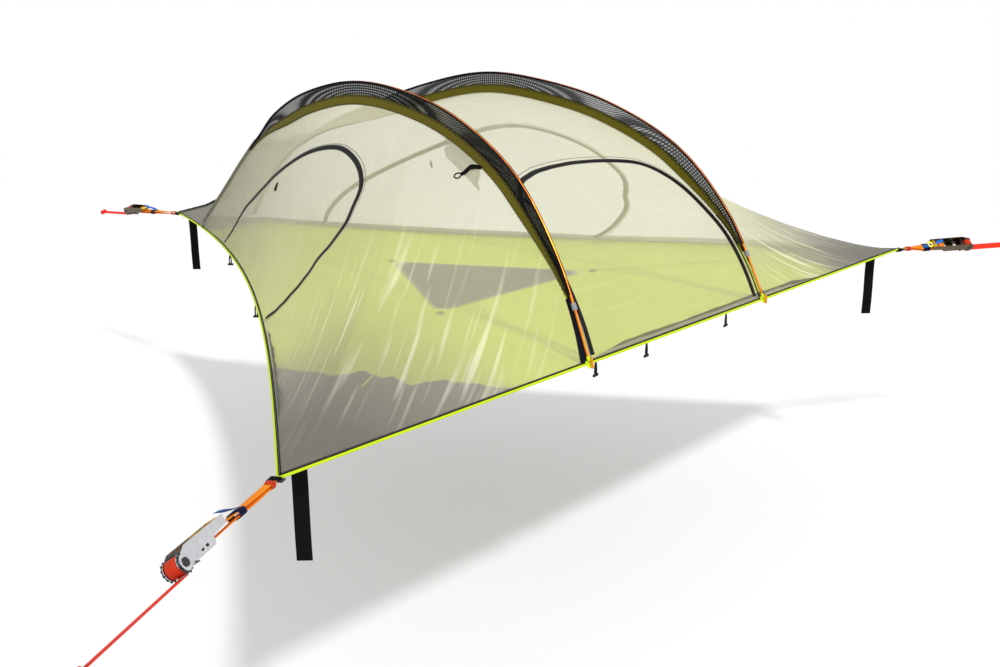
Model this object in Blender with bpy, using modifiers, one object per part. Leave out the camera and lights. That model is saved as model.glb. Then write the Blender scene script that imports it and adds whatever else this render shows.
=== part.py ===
"""Three-cornered tree tent: a stretched floor and a mesh canopy on two arched poles, hung by straps.

The hem lies in the plane z = 0 with the middle of its triangle at the origin. The front side runs along X
and the tail points along +Y. Sizes are in metres.
"""
import math

import bmesh
import bpy
from mathutils import Matrix, Vector

# Hem plan
FRONT_SIDE = 4.10
DEPTH = 3.97
SIDE_BOW = 0.195
SIDE_BOW_SKEW_SHARE = 0.59
CENTRE_SHARE = 1 / 3
HEM_RADIUS = 0.005
TIP_ROUND = 0.016
HEM_SIDES_RESOLUTION = 2

# Fabric
SEAT_GAP = 0.0003
FABRIC_THICKNESS = 0.0012
FLOOR_THICKNESS = 0.002
CORNER_REACHES = {"front_left": 1.05, "front_right": 0.75, "tail": 0.75}

# Arched poles: shares of the half spacing at the feet, of the depth and of the rise
POLE_RADIUS = 0.0045
FOOT_HALF = 0.63
ARCH_RISE = 0.965
POLE_LIFT = 0.0048
REAR_LIFT = 0.045
REAR_FOOT_SHARE = 0.863
ARCH_SHARES = (
    (0.955, 0.045, 0.380), (0.885, 0.112, 0.685), (0.800, 0.205, 0.880), (0.725, 0.305, 0.977),
    (0.690, 0.400, 1.000), (0.640, 0.500, 0.925), (0.500, 0.595, 0.795), (0.325, 0.675, 0.645),
    (0.250, 0.745, 0.455), (0.245, 0.800, 0.255),
)
POLE_STEPS = 40

# Sleeves, clips and pockets of the poles
SLEEVE_HEIGHT = 0.10
SLEEVE_THICKNESS = 0.0025
SLEEVE_STANDOFF = 0.014
SLEEVE_FIRST_STEP = 3
SLEEVE_LAST_STEP = 31
SLEEVE_RISE_SHARE = 0.10
COLLAR_CLEAR = 0.0005
CLIP_STEP = 2
CLIP_LENGTH = 0.028
CLIP_WALL = 0.005
POCKET_LENGTH = 0.05
POCKET_WALL = 0.0022
FOOT_GAP = 0.02

# Canopy
EDGE_SHIFT = 0.0026
SLOPE_POWER = 1.5
ROOF_SAG = 0.045
ROOF_SAG_SHARES = (0.17, 0.50, 0.745)
HEM_SEAT_IN_SHARE = 0.9
HEM_SEAT_UP_SHARE = 0.8
FRONT_STEPS = 13
SIDE_STEPS = 26
ACROSS_STEPS = 6
HOOD_FIRST_STEP = 30
ROOF_LAST_STEP = 31
HOOD_LAP = 0.02
HOOD_CLEAR = 0.009
HOOD_TIP_STEPS = 5
RIDGE_SHARES = (
    (0.600, 0.775), (0.675, 0.650), (0.745, 0.470), (0.800, 0.305), (0.850, 0.195), (0.907, 0.105),
    (1.0, 0.008),
)

# Doors
FRONT_ZIP_GAP = 0.0006
SIDE_ZIP_GAP = 0.0014
SILL_HEIGHT = 0.020
FRONT_DOOR_CLEAR = 0.045
FRONT_DOOR_HALF = FOOT_HALF - FRONT_DOOR_CLEAR
FRONT_DOOR_HEIGHT = 0.623
FRONT_DOOR_ARC_SHARES = (
    (-1.000, 0.00), (-0.988, 0.22), (-0.975, 0.40), (-0.950, 0.59), (-0.905, 0.77), (-0.820, 0.88),
    (-0.690, 0.95), (-0.500, 0.98), (-0.250, 0.995), (0.000, 1.00), (0.250, 0.995), (0.500, 0.98),
    (0.690, 0.95), (0.820, 0.88), (0.905, 0.77), (0.950, 0.59), (0.975, 0.40), (0.988, 0.22), (1.000, 0.00),
)
SIDE_DOOR_SHARES = (0.34, 0.70)
SIDE_DOOR_HEIGHT = 0.683
SIDE_DOOR_ARC_SHARES = (
    (-0.830, 0.000), (-0.925, 0.070), (-1.000, 0.160), (-1.060, 0.260), (-1.085, 0.340), (-1.080, 0.420),
    (-1.095, 0.520), (-1.075, 0.620), (-1.010, 0.715), (-0.910, 0.825), (-0.780, 0.905), (-0.640, 0.960),
    (-0.490, 0.995), (-0.370, 1.000), (-0.220, 0.975), (-0.040, 0.915), (0.180, 0.815), (0.450, 0.680),
    (0.750, 0.510), (1.000, 0.340), (1.170, 0.160), (1.260, 0.000),
)
CUT_REACH = 2.2
PULL_LENGTH = 0.05
PULL_WIDTH = 0.009
PULL_THICKNESS = 0.0025
PULL_CLEAR = 0.0008
PULL_SIDE_STEP = 25
PULL_SIDE_COLUMN = 1
PULL_FRONT_STEP = 8
PULL_FRONT_COLUMN = 0

# Floor hatch
HATCH_SIDE = 1.0
HATCH_CENTRE_Y = -0.077
HATCH_ROUND = 0.05
HATCH_GAP = 0.0006

# Webbing
WEBBING_WIDTH = 0.050
STRAP_WIDTH = 0.036
WEBBING_THICKNESS = 0.0022
HANGING_LENGTH = 0.35
HANGING_INBOARD = 0.165
HANGING_WAVE = 0.003
HANGING_TURN = math.radians(45)
TOGGLE_FOOT_CLEAR = 0.040
TOGGLE_PLACES = {
    "toggle_side_rear": ("side", 0.69), "toggle_side_front": ("side", 0.44),
    "toggle_foot_left": ("front", -FOOT_HALF + TOGGLE_FOOT_CLEAR), "toggle_door_left": ("front", -0.265),
    "toggle_door_right": ("front", 0.320),
}
TOGGLE_LENGTH = 0.055
TOGGLE_NECK = 0.006
TOGGLE_BAR = 0.030
TOGGLE_BAR_HEIGHT = 0.008
TOGGLE_THICKNESS = 0.002
TOGGLE_CLEAR = 0.0009

# Corner rings
RING_BAR = 0.006
RING_THICKNESS = 0.004
RING_EYE = 0.018
RING_SIDE_CLEAR = 0.0006

# Ratchets: along the strap, across it and up, from the middle of the spool
SPOOL_REACHES = {"front_left": 0.62, "front_right": 0.43, "tail": 0.66}
STRAP_REACHES = {"front_left": 1.09, "front_right": 0.80, "tail": 1.07}
STRAP_SLOPES = {
    "front_left": math.radians(4.5), "front_right": math.radians(0.5), "tail": math.radians(-5.0),
}
STRAP_ROLLS = {
    "front_left": math.radians(35), "front_right": math.radians(38), "tail": math.radians(-15),
}
SLING_RING_HOLD = 0.020
SLING_HANDLE_CLEAR = 0.030
SLING_GATHER_SHARE = 0.60
SLING_STEPS = 14
SHAFT_RADIUS = 0.009
WHEEL_RADIUS = 0.028
WHEEL_TOOTH = 0.004
WHEEL_THICKNESS = 0.003
WHEEL_TEETH = 12
FRAME_SIDE_CLEAR = 0.0025
PLATE = 0.0025
FRAME_NOSE = 0.025
FRAME_LENGTH = 0.150
FRAME_TOP = 0.008
FRAME_BOTTOM = 0.018
TAIL_BAR_RADIUS = 0.005
TAIL_HALF_HEIGHT = 0.010
BASE_START = 0.075
BASE_LENGTH = 0.045
CAP_RADIUS = 0.012
CAP_THICKNESS = 0.002
HANDLE_NOSE = 0.022
HANDLE_LENGTH = 0.235
HANDLE_SHOULDER = 0.034
HANDLE_SHOULDER_REACH = 0.062
HANDLE_BOTTOM = 0.004
HANDLE_END_HALF = 0.012
GRIP_RADIUS = 0.011
GRIP_SETBACK = 0.016
GRIP_CLEAR = 0.0015
PAWL_THICKNESS = 0.003
PAWL_LENGTH = 0.028
PAWL_GAP = 0.0004
PAWL_TRAVEL = 0.005
DRIVE_PAWL_TILT = math.radians(27)
LOCK_PAWL_TILT = math.radians(-22)
SLOT_CLEAR = 0.0005
ROLL_TURNS = 4
ROLL_TURN_POINTS = 24
ROLL_PITCH = 0.0036
ROLL_CORE_GAP = 0.0004
ROLL_END_SHARE = 0.25
STRAP_EYE_RADIUS = 0.014
ROUND_SEGMENTS = 24
SHARP_DEGREES = 40
SMALL_SEGMENTS = 12

# Clear reach of a cutter past what it cuts, the finest merge, the thinnest triangle kept and a tip's bend
OVERRUN = 0.01
MERGE = 0.00001
SLIVER = 0.0002
TIP_BEND = math.radians(57)

FRONT_Y = -DEPTH * CENTRE_SHARE
TAIL_Y = FRONT_Y + DEPTH
TIPS = {
    "front_left": Vector((-FRONT_SIDE / 2, FRONT_Y, 0)),
    "front_right": Vector((FRONT_SIDE / 2, FRONT_Y, 0)),
    "tail": Vector((0, TAIL_Y, 0)),
}
MIRROR = Matrix.Scale(-1, 4, Vector((1, 0, 0)))
SIDEWAYS = Matrix.Rotation(math.pi / 2, 4, "X")
ROLL_INNER = SHAFT_RADIUS + ROLL_CORE_GAP + WEBBING_THICKNESS / 2
ROLL_OUTER = ROLL_INNER + ROLL_TURNS * ROLL_PITCH + WEBBING_THICKNESS / 2
BORE_RADIUS = SHAFT_RADIUS + SEAT_GAP
FRAME_INNER = STRAP_WIDTH / 2 + FRAME_SIDE_CLEAR
FRAME_OUTER = FRAME_INNER + PLATE
WHEEL_INNER = FRAME_OUTER + SEAT_GAP
WHEEL_OUTER = WHEEL_INNER + WHEEL_THICKNESS
HANDLE_INNER = WHEEL_OUTER + SEAT_GAP
HANDLE_OUTER = HANDLE_INNER + PLATE
GRIP_HEIGHT = TAIL_BAR_RADIUS + SEAT_GAP + WEBBING_THICKNESS + GRIP_CLEAR + GRIP_RADIUS
CAP_INNER = HANDLE_OUTER + SEAT_GAP
CAP_OUTER = CAP_INNER + CAP_THICKNESS


# Scene, collections and materials

def clear_scene():
    """Removes every object, so that the model starts alone."""
    for old in list(bpy.data.objects):
        bpy.data.objects.remove(old, do_unlink=True)


def new_collection(name):
    """Makes a collection under the scene's own."""
    made = bpy.data.collections.new(name)
    bpy.context.scene.collection.children.link(made)
    return made


clear_scene()
PARTS = new_collection("tree_tent")
CUTTERS = new_collection("cutters")


def finish(name, colour, roughness, metallic=0.0):
    """Makes one Principled material."""
    material = bpy.data.materials.new(name)
    material.use_nodes = True
    shader = material.node_tree.nodes["Principled BSDF"]
    shader.inputs["Base Color"].default_value = (*colour, 1.0)
    shader.inputs["Roughness"].default_value = roughness
    shader.inputs["Metallic"].default_value = metallic
    return material


MESH_CREAM = (0.66, 0.66, 0.52)
LIME = (0.62, 0.78, 0.03)
LIME_FLOOR = (0.60, 0.70, 0.12)
GREY_CLOTH = (0.25, 0.25, 0.20)
BLACK = (0.012, 0.012, 0.014)
ORANGE_POLE = (0.75, 0.32, 0.03)
RED_ORANGE = (0.80, 0.10, 0.02)
CHROME = (0.75, 0.76, 0.78)
GOLD = (0.55, 0.40, 0.08)


def add_part(name, data, colour, roughness, metallic=0.0, matrix=None):
    """Links one sub-part with its own material."""
    made = bpy.data.objects.new(name, data)
    data.materials.append(finish(name + "_finish", colour, roughness, metallic))
    if matrix is not None:
        made.matrix_world = matrix
    PARTS.objects.link(made)
    return made


def add_cutter(name, data, matrix=None):
    """Links one cutter, which is no part of the tent."""
    made = bpy.data.objects.new(name, data)
    made.hide_render = True
    made.display_type = "WIRE"
    if matrix is not None:
        made.matrix_world = matrix
    CUTTERS.objects.link(made)
    return made


# Mesh and curve helpers

def mesh_from(name, work):
    """Ends a bmesh as mesh data."""
    data = bpy.data.meshes.new(name)
    work.to_mesh(data)
    work.free()
    return data


def grid_mesh(name, rows):
    """Makes one open sheet of quads from rows of points."""
    work = bmesh.new()
    grid = [[work.verts.new(point) for point in row] for row in rows]
    for low, high in zip(grid, grid[1:]):
        for place in range(len(low) - 1):
            work.faces.new((low[place], low[place + 1], high[place + 1], high[place]))
    return mesh_from(name, work)


def smooth(part):
    """Shades a part smooth with its sharp edges kept."""
    part.data.shade_smooth()
    part.data.set_sharp_from_angle(angle=math.radians(SHARP_DEGREES))


def solidify(part, thickness):
    """Gives an open sheet its thickness, half on each side."""
    wall = part.modifiers.new("thickness", "SOLIDIFY")
    wall.thickness = thickness
    wall.offset = 0.0
    wall.use_quality_normals = True


def outline_curve(name, outlines, half_thickness):
    """Makes a flat 2D curve of closed outlines, thickened both ways."""
    data = bpy.data.curves.new(name, "CURVE")
    data.dimensions = "2D"
    data.fill_mode = "BOTH"
    data.extrude = half_thickness
    for outline in outlines:
        spline = data.splines.new("POLY")
        spline.points.add(len(outline) - 1)
        for point, place in zip(spline.points, outline):
            point.co = (place[0], place[1], 0, 1)
        spline.use_cyclic_u = True
    return data


def outline_mesh(name, outlines, half_thickness, matrix=None):
    """Makes a flat outline a welded mesh, placed by a matrix."""
    source = bpy.data.objects.new(name, outline_curve(name, outlines, half_thickness))
    CUTTERS.objects.link(source)
    bpy.context.view_layer.update()
    shape = source.evaluated_get(bpy.context.evaluated_depsgraph_get())
    data = bpy.data.meshes.new_from_object(shape)
    bpy.data.objects.remove(source, do_unlink=True)
    work = bmesh.new()
    work.from_mesh(data)
    bmesh.ops.remove_doubles(work, verts=work.verts, dist=MERGE)
    if matrix is not None:
        work.transform(matrix)
    bmesh.ops.recalc_face_normals(work, faces=work.faces)
    work.to_mesh(data)
    work.free()
    return data


def tube_curve(name, points, radius, resolution=HEM_SIDES_RESOLUTION, cyclic=False):
    """Makes a round tube along points."""
    data = bpy.data.curves.new(name, "CURVE")
    data.dimensions = "3D"
    data.bevel_depth = radius
    data.bevel_resolution = resolution
    data.use_fill_caps = not cyclic
    spline = data.splines.new("POLY")
    spline.points.add(len(points) - 1)
    for point, place in zip(spline.points, points):
        point.co = (*place, 1)
    spline.use_cyclic_u = cyclic
    return data


def cylinder_mesh(name, radius, length, segments, matrix):
    """Makes a closed cylinder about its own Z, placed by a matrix."""
    work = bmesh.new()
    bmesh.ops.create_cone(
        work, cap_ends=True, segments=segments, radius1=radius, radius2=radius, depth=length, matrix=matrix)
    return mesh_from(name, work)


def box_mesh(name, size, matrix):
    """Makes a closed box of three sizes, placed by a matrix."""
    work = bmesh.new()
    bmesh.ops.create_cube(work, size=1.0, matrix=matrix @ Matrix.Diagonal((*size, 1)))
    return mesh_from(name, work)


def boolean(part, cutter, operation):
    """Adds one exact Boolean to a part."""
    step = part.modifiers.new(operation.lower(), "BOOLEAN")
    step.operation = operation
    step.solver = "EXACT"
    step.object = cutter


def applied(part, cutter):
    """Applies a thin part's modifiers, takes its slivers out and removes its cutter."""
    bpy.context.view_layer.update()
    shape = part.evaluated_get(bpy.context.evaluated_depsgraph_get())
    data = bpy.data.meshes.new_from_object(shape)
    work = bmesh.new()
    work.from_mesh(data)
    bmesh.ops.triangulate(work, faces=work.faces)
    bmesh.ops.dissolve_degenerate(work, edges=work.edges, dist=SLIVER)
    bmesh.ops.triangulate(work, faces=work.faces)
    work.to_mesh(data)
    work.free()
    part.modifiers.clear()
    part.data = data
    bpy.data.objects.remove(cutter, do_unlink=True)


def joined(part, name, data):
    """Unions one more shape into a part."""
    boolean(part, add_cutter(name, data, part.matrix_world), "UNION")


def cut(part, name, data):
    """Cuts one shape out of a part."""
    boolean(part, add_cutter(name, data, part.matrix_world), "DIFFERENCE")


def through(points, share):
    """Point at a share of a smooth curve through points, each span as long in share as the next."""
    spans = len(points) - 1
    place = min(max(share, 0), 1) * spans
    first = min(int(place), spans - 1)
    local = place - first
    before = points[max(first - 1, 0)]
    start, end = points[first], points[first + 1]
    after = points[min(first + 2, spans)]
    pull_in, pull_out = (end - before) / 2, (after - start) / 2
    square, cube = local ** 2, local ** 3
    return (start * (2 * cube - 3 * square + 1) + pull_in * (cube - 2 * square + local)
            + end * (3 * square - 2 * cube) + pull_out * (cube - square))


def mirrored(points):
    """Points mirrored to the right side."""
    return [MIRROR @ point for point in points]


def ramp(value, low, high):
    """Smooth rise from 0 at low to 1 at high."""
    share = min(max((value - low) / (high - low), 0), 1)
    return share * share * (3 - 2 * share)


def arc(centre, radius, start, end, steps):
    """Flat arc points about a centre."""
    turn = (end - start) / steps
    angles = [start + turn * step for step in range(steps + 1)]
    return [(centre[0] + radius * math.cos(angle), centre[1] + radius * math.sin(angle)) for angle in angles]


# Hem plan

def side_hem(share):
    """Point of the left side hem, from the front left tip to the tail tip."""
    start, end = TIPS["front_left"], TIPS["tail"]
    chord = end - start
    inward = Vector((chord.y, -chord.x, 0)).normalized()
    bow = SIDE_BOW * 4 * share * (1 - share) * (1 + SIDE_BOW_SKEW_SHARE * (share - 1 / 2))
    return start + chord * share + inward * bow


def front_hem(place):
    """Point of the front hem at a place along X."""
    return Vector((place, FRONT_Y, 0))


def spread(function, start, end, steps):
    """Points of a function at even steps, both ends included."""
    return [function(start + (end - start) * step / steps) for step in range(steps + 1)]


SIDE_CHORD = (TIPS["tail"] - TIPS["front_left"]).length
REAR_GAP_SHARE = FOOT_GAP / SIDE_CHORD


def inset(points, distance):
    """Closed clockwise outline moved inwards by a distance, with mitred corners."""
    moved = []
    for index, point in enumerate(points):
        into = (point - points[index - 1]).normalized()
        out = (points[(index + 1) % len(points)] - point).normalized()
        normal_in, normal_out = Vector((into.y, -into.x, 0)), Vector((out.y, -out.x, 0))
        mitre = (normal_in + normal_out).normalized()
        moved.append(point + mitre * distance / mitre.dot(normal_in))
    return moved


def hem_sections():
    """Left half of the hem from the front middle to the tail tip, as named runs that share their ends."""
    inner, outer = FOOT_HALF - FOOT_GAP, FOOT_HALF + FOOT_GAP
    rear_low, rear_high = REAR_FOOT_SHARE - REAR_GAP_SHARE, REAR_FOOT_SHARE + REAR_GAP_SHARE
    return {
        "sill": spread(front_hem, 0, -inner, ACROSS_STEPS // 2),
        "foot": spread(front_hem, -inner, -outer, 1),
        "front": spread(front_hem, -outer, -FRONT_SIDE / 2, FRONT_STEPS),
        "side": spread(side_hem, 0, rear_low, SIDE_STEPS),
        "rear": spread(side_hem, rear_low, rear_high, 1),
        "tail": spread(side_hem, rear_high, 1, HOOD_TIP_STEPS),
    }


def hem_ring():
    """Whole hem outline, clockwise from the front middle, and where each left run starts in it."""
    points, starts = [], {}
    for name, run in hem_sections().items():
        starts[name] = max(len(points) - 1, 0)
        points += run if not points else run[1:]
    starts["tip"] = len(points) - 1
    right = [MIRROR @ point for point in reversed(points[1:-1])]
    return points + right, starts


RING, RUN_STARTS = hem_ring()


def seam_ring():
    """Lower seam of the canopy, just inside the hem and clear of its rounded tips."""
    points = []
    for source, point in zip(RING, inset(RING, HEM_RADIUS * HEM_SEAT_IN_SHARE)):
        if source in TIPS.values():
            point = point - source.normalized() * TIP_ROUND / 2
        points.append(point + Vector((0, 0, HEM_RADIUS * HEM_SEAT_UP_SHARE)))
    return points


SEAM = seam_ring()


def seam_run(first, last):
    """Points of the canopy's lower seam between two named places of the left side."""
    return SEAM[RUN_STARTS[first]:RUN_STARTS[last] + 1]


# Arched poles and their sleeves

def arch_points():
    """Points that the left pole passes through, foot to foot."""
    lift = Vector((0, 0, HEM_RADIUS + POLE_LIFT))
    middle = [Vector((-FOOT_HALF * wide, FRONT_Y + DEPTH * deep, ARCH_RISE * high))
              for wide, deep, high in ARCH_SHARES]
    rear = side_hem(REAR_FOOT_SHARE) + Vector((0, 0, REAR_LIFT))
    return [front_hem(-FOOT_HALF) + lift, *middle, rear]


ARCH = arch_points()
STEP_SHARE = 0.002
SLEEVE_START_SHARE = SLEEVE_FIRST_STEP / POLE_STEPS
SLEEVE_END_SHARE = SLEEVE_LAST_STEP / POLE_STEPS


def arch_point(share):
    """Point of the left pole's middle line."""
    return through(ARCH, share)


def arch_along(share):
    """Direction of the left pole, from its front foot to its rear foot."""
    ahead = arch_point(min(share + STEP_SHARE, 1))
    return (ahead - arch_point(max(share - STEP_SHARE, 0))).normalized()


def arch_inward(share):
    """Direction from the left pole towards the canopy."""
    return arch_along(share).cross(Vector((1, 0, 0))).normalized()


def arch_outward(share):
    """Direction from the left sleeve's face towards the left, square to it."""
    return arch_along(share).cross(arch_inward(share)).normalized()


def sleeve_height(share):
    """Height from the pole down to the canopy, which tapers to both ends of the sleeve."""
    grown = ramp(share, SLEEVE_START_SHARE - SLEEVE_RISE_SHARE / 2, SLEEVE_START_SHARE + SLEEVE_RISE_SHARE)
    grown *= 1 - ramp(share, SLEEVE_END_SHARE - 2 * SLEEVE_RISE_SHARE, SLEEVE_END_SHARE)
    return SLEEVE_STANDOFF + (SLEEVE_HEIGHT - SLEEVE_STANDOFF) * grown


def base_point(share):
    """Point where the canopy meets the left sleeve."""
    return arch_point(share) + arch_inward(share) * sleeve_height(share)


def build_poles():
    """Two arched poles."""
    line = spread(arch_point, 0, 1, POLE_STEPS)
    for side, points in (("left", line), ("right", mirrored(line))):
        name = "arch_pole_" + side
        add_part(name, tube_curve(name, points, POLE_RADIUS), ORANGE_POLE, 0.3, 0.8)


def build_sleeves():
    """Two upright mesh sleeves between the poles and the canopy."""
    rows = []
    for step in range(SLEEVE_FIRST_STEP, SLEEVE_LAST_STEP + 1):
        share = step / POLE_STEPS
        top = arch_point(share) + arch_inward(share) * (POLE_RADIUS + 2 * SEAT_GAP)
        rows.append([top, base_point(share)])
    for side, line in (("left", rows), ("right", [mirrored(row) for row in rows])):
        name = "pole_sleeve_" + side
        solidify(add_part(name, grid_mesh(name, line), BLACK, 0.8), SLEEVE_THICKNESS)


def collar(name, step, length, wall, colour, roughness, metallic, mirror):
    """A short tube round a pole, on one straight step of it."""
    start = arch_point(step / POLE_STEPS)
    along = arch_point((step + 1) / POLE_STEPS) - start
    place = Matrix.Translation(start) @ along.to_track_quat("Z", "Y").to_matrix().to_4x4()
    inner = POLE_RADIUS + COLLAR_CLEAR
    outer = inner + wall
    profile = [(inner, 0), (outer, 0), (outer, length), (inner, length)]
    work = bmesh.new()
    rings = []
    for segment in range(SMALL_SEGMENTS):
        turn = 2 * math.pi * segment / SMALL_SEGMENTS
        places = [(reach * math.cos(turn), reach * math.sin(turn), up) for reach, up in profile]
        rings.append([work.verts.new(point) for point in places])
    for ring, following in zip(rings, rings[1:] + rings[:1]):
        for corner in range(len(profile)):
            after = (corner + 1) % len(profile)
            work.faces.new((ring[corner], following[corner], following[after], ring[after]))
    work.transform((MIRROR @ place) if mirror else place)
    bmesh.ops.recalc_face_normals(work, faces=work.faces)
    smooth(add_part(name, mesh_from(name, work), colour, roughness, metallic))


def build_collars():
    """Ring clips above the front feet and the front foot pockets on the hem."""
    for side in ("left", "right"):
        mirror = side == "right"
        collar("sleeve_clip_" + side, CLIP_STEP, CLIP_LENGTH, CLIP_WALL, GREY_CLOTH, 0.5, 0.0, mirror)
        collar("front_pocket_" + side, 0, POCKET_LENGTH, POCKET_WALL, LIME, 0.7, 0.0, mirror)


# Canopy

def ruled_row(start, end, power):
    """Row from the arch down to the hem, straight in plan and hollow in height."""
    row = []
    for step in range(ACROSS_STEPS + 1):
        share = step / ACROSS_STEPS
        point = start.lerp(end, share)
        point.z = end.z + (start.z - end.z) * (1 - share) ** power
        row.append(point)
    return row


def side_rows():
    """Rows of the left canopy panel, from the front foot round the tip to the rear foot."""
    seam = seam_run("front", "rear")
    rows = []
    for index, end in enumerate(seam):
        share = index / POLE_STEPS
        rows.append(ruled_row(base_point(share) + arch_outward(share) * EDGE_SHIFT, end, SLOPE_POWER))
    return rows


def roof_row(share):
    """Row of the roof between the two sleeves, hollow in the middle."""
    edge = base_point(share) - arch_outward(share) * EDGE_SHIFT
    sag = ROOF_SAG * ramp(share, 0, ROOF_SAG_SHARES[0]) * (1 - ramp(share, *ROOF_SAG_SHARES[1:]))
    inward = arch_inward(share)
    row = []
    for step in range(ACROSS_STEPS + 1):
        across = 2 * step / ACROSS_STEPS - 1
        point = Vector((-edge.x * across, edge.y, edge.z))
        row.append(point + inward * sag * (1 - across ** 2))
    return row


def roof_rows():
    """Rows of the roof, from the front hem to where the tail hood starts."""
    left = seam_run("sill", "foot")
    sill = [MIRROR @ point for point in reversed(left[1:])] + left
    rows = [list(reversed(sill))]
    for step in range(ROOF_LAST_STEP + 1):
        rows.append(roof_row(step / POLE_STEPS))
    return rows


def ridge_height(depth_share):
    """Height of the tail's ridge at a share of the depth."""
    for (near, low), (far, high) in zip(RIDGE_SHARES, RIDGE_SHARES[1:]):
        if depth_share <= far:
            return ARCH_RISE * (low + (high - low) * max(depth_share - near, 0) / (far - near))
    return ARCH_RISE * RIDGE_SHARES[-1][1]


def hood_row(edge, crown, ridge):
    """Row of the tail hood through an edge, a crown point and the ridge, mirrored to the right."""
    quarter = crown.lerp(ridge, 1 / 2)
    left = [edge, edge.lerp(crown, 1 / 2), crown, quarter, ridge]
    return left + [MIRROR @ point for point in reversed(left[:-1])]


def hood_rows():
    """Rows of the tail hood, over both rear pole ends and out to the tail tip."""
    rows = []
    for step in range(HOOD_FIRST_STEP, POLE_STEPS + 1):
        share = step / POLE_STEPS
        pole, out = arch_point(share), -arch_inward(share)
        crown = pole + out * (POLE_RADIUS + HOOD_CLEAR)
        edge = base_point(share) + Vector((-HOOD_LAP, 0, 0)) + out * HOOD_CLEAR
        depth_share = (crown.y - FRONT_Y) / DEPTH
        ridge = Vector((0, crown.y, max(ridge_height(depth_share), HEM_RADIUS)))
        rows.append(hood_row(edge, crown, ridge))
    for end in seam_run("rear", "tip")[1:-1]:
        depth_share = (end.y - FRONT_Y) / DEPTH
        ridge = Vector((0, end.y, ridge_height(depth_share)))
        crown = end.lerp(ridge, 1 / 2)
        rows.append(hood_row(end, crown, ridge))
    return rows


def door_outline(shares, half, height, grow):
    """Upright door outline with its foot at zero, grown or shrunk by a gap."""
    sill = SILL_HEIGHT - grow
    return [(wide * (half + grow), sill + high * (height + grow - sill)) for wide, high in shares]


def door_cutter(name, shares, half, height, grow, foot, turn):
    """Door-shaped prism that stands across a canopy panel."""
    data = outline_mesh(name, [door_outline(shares, half, height, grow)], CUT_REACH / 2, SIDEWAYS)
    return add_cutter(name, data, Matrix.Translation(foot) @ Matrix.Rotation(turn, 4, "Z"))


def side_door_place():
    """Middle and turn of the left side door, on the chord between its ends on the hem."""
    front_end, rear_end = (side_hem(share) for share in SIDE_DOOR_SHARES)
    chord = rear_end - front_end
    return (front_end + rear_end) / 2, math.atan2(chord.y, chord.x), chord.length / 2


def build_canopy():
    """Canopy panels with their doors."""
    middle, turn, half = side_door_place()
    left = side_rows()
    right = [mirrored(row) for row in left]
    shares = SIDE_DOOR_ARC_SHARES
    other_shares = [(-wide, high) for wide, high in reversed(shares)]
    front_arc = (FRONT_DOOR_ARC_SHARES, FRONT_DOOR_HALF, FRONT_DOOR_HEIGHT)
    plans = (
        ("left", left, middle, turn, (shares, half, SIDE_DOOR_HEIGHT), SIDE_ZIP_GAP / 2),
        ("right", right, MIRROR @ middle, -turn, (other_shares, half, SIDE_DOOR_HEIGHT), SIDE_ZIP_GAP / 2),
        ("roof", roof_rows(), front_hem(0), 0, front_arc, FRONT_ZIP_GAP / 2),
    )
    for side, rows, foot, angle, shape, grow in plans:
        name = "canopy_" + side
        panel = add_part(name, grid_mesh(name, rows), MESH_CREAM, 0.75)
        solidify(panel, FABRIC_THICKNESS)
        cutter = door_cutter(name + "_door_hole", *shape, grow, foot, angle)
        boolean(panel, cutter, "DIFFERENCE")
        applied(panel, cutter)
        door_name = "front_door" if side == "roof" else side + "_door"
        hinge = foot + Vector((0, 0, SILL_HEIGHT))
        door = grid_mesh(door_name, [[point - hinge for point in row] for row in rows])
        door = add_part(door_name, door, MESH_CREAM, 0.75, 0.0, Matrix.Translation(hinge))
        solidify(door, FABRIC_THICKNESS)
        cutter = door_cutter(door_name + "_edge", *shape, -grow, foot, angle)
        boolean(door, cutter, "INTERSECT")
        applied(door, cutter)
    hood = add_part("canopy_tail", grid_mesh("canopy_tail", hood_rows()), MESH_CREAM, 0.75)
    solidify(hood, FABRIC_THICKNESS)


# Hem and floor

def rounded(outline):
    """Closed outline with each tip turned on a short curve."""
    points = []
    for index, point in enumerate(outline):
        before, after = outline[index - 1], outline[(index + 1) % len(outline)]
        bend = (point - before).angle(after - point)
        if bend < TIP_BEND:
            points.append(point)
            continue
        start = point + (before - point).normalized() * TIP_ROUND
        end = point + (after - point).normalized() * TIP_ROUND
        for step in range(SMALL_SEGMENTS // 2 + 1):
            share = step / (SMALL_SEGMENTS // 2)
            points.append(start.lerp(point, share).lerp(point.lerp(end, share), share))
    return points


def build_hem():
    """One piped hem round the whole tent."""
    add_part("hem", tube_curve("hem", rounded(RING), HEM_RADIUS, cyclic=True), LIME, 0.6)


def corner_cut(points, tip, reach):
    """Splits a closed outline at a reach from one tip: the corner's own outline and the rest."""
    near = [(point - tip).length < reach for point in points]
    count = len(points)
    first = next(index for index in range(count) if near[index] and not near[index - 1])
    corner = []
    index = first
    while near[index % count]:
        corner.append(points[index % count])
        index += 1
    ends = []
    crossings = ((points[first], points[first - 1]), (points[(index - 1) % count], points[index % count]))
    for inside, outside in crossings:
        low, high = 0, 1
        for _ in range(SMALL_SEGMENTS):
            middle = (low + high) / 2
            if (inside.lerp(outside, middle) - tip).length < reach:
                low = middle
            else:
                high = middle
        ends.append(inside.lerp(outside, low))
    rest = [points[(index + step) % count] for step in range(count - len(corner))]
    return [ends[0], *corner, ends[1]], [ends[1], *rest, ends[0]]


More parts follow.
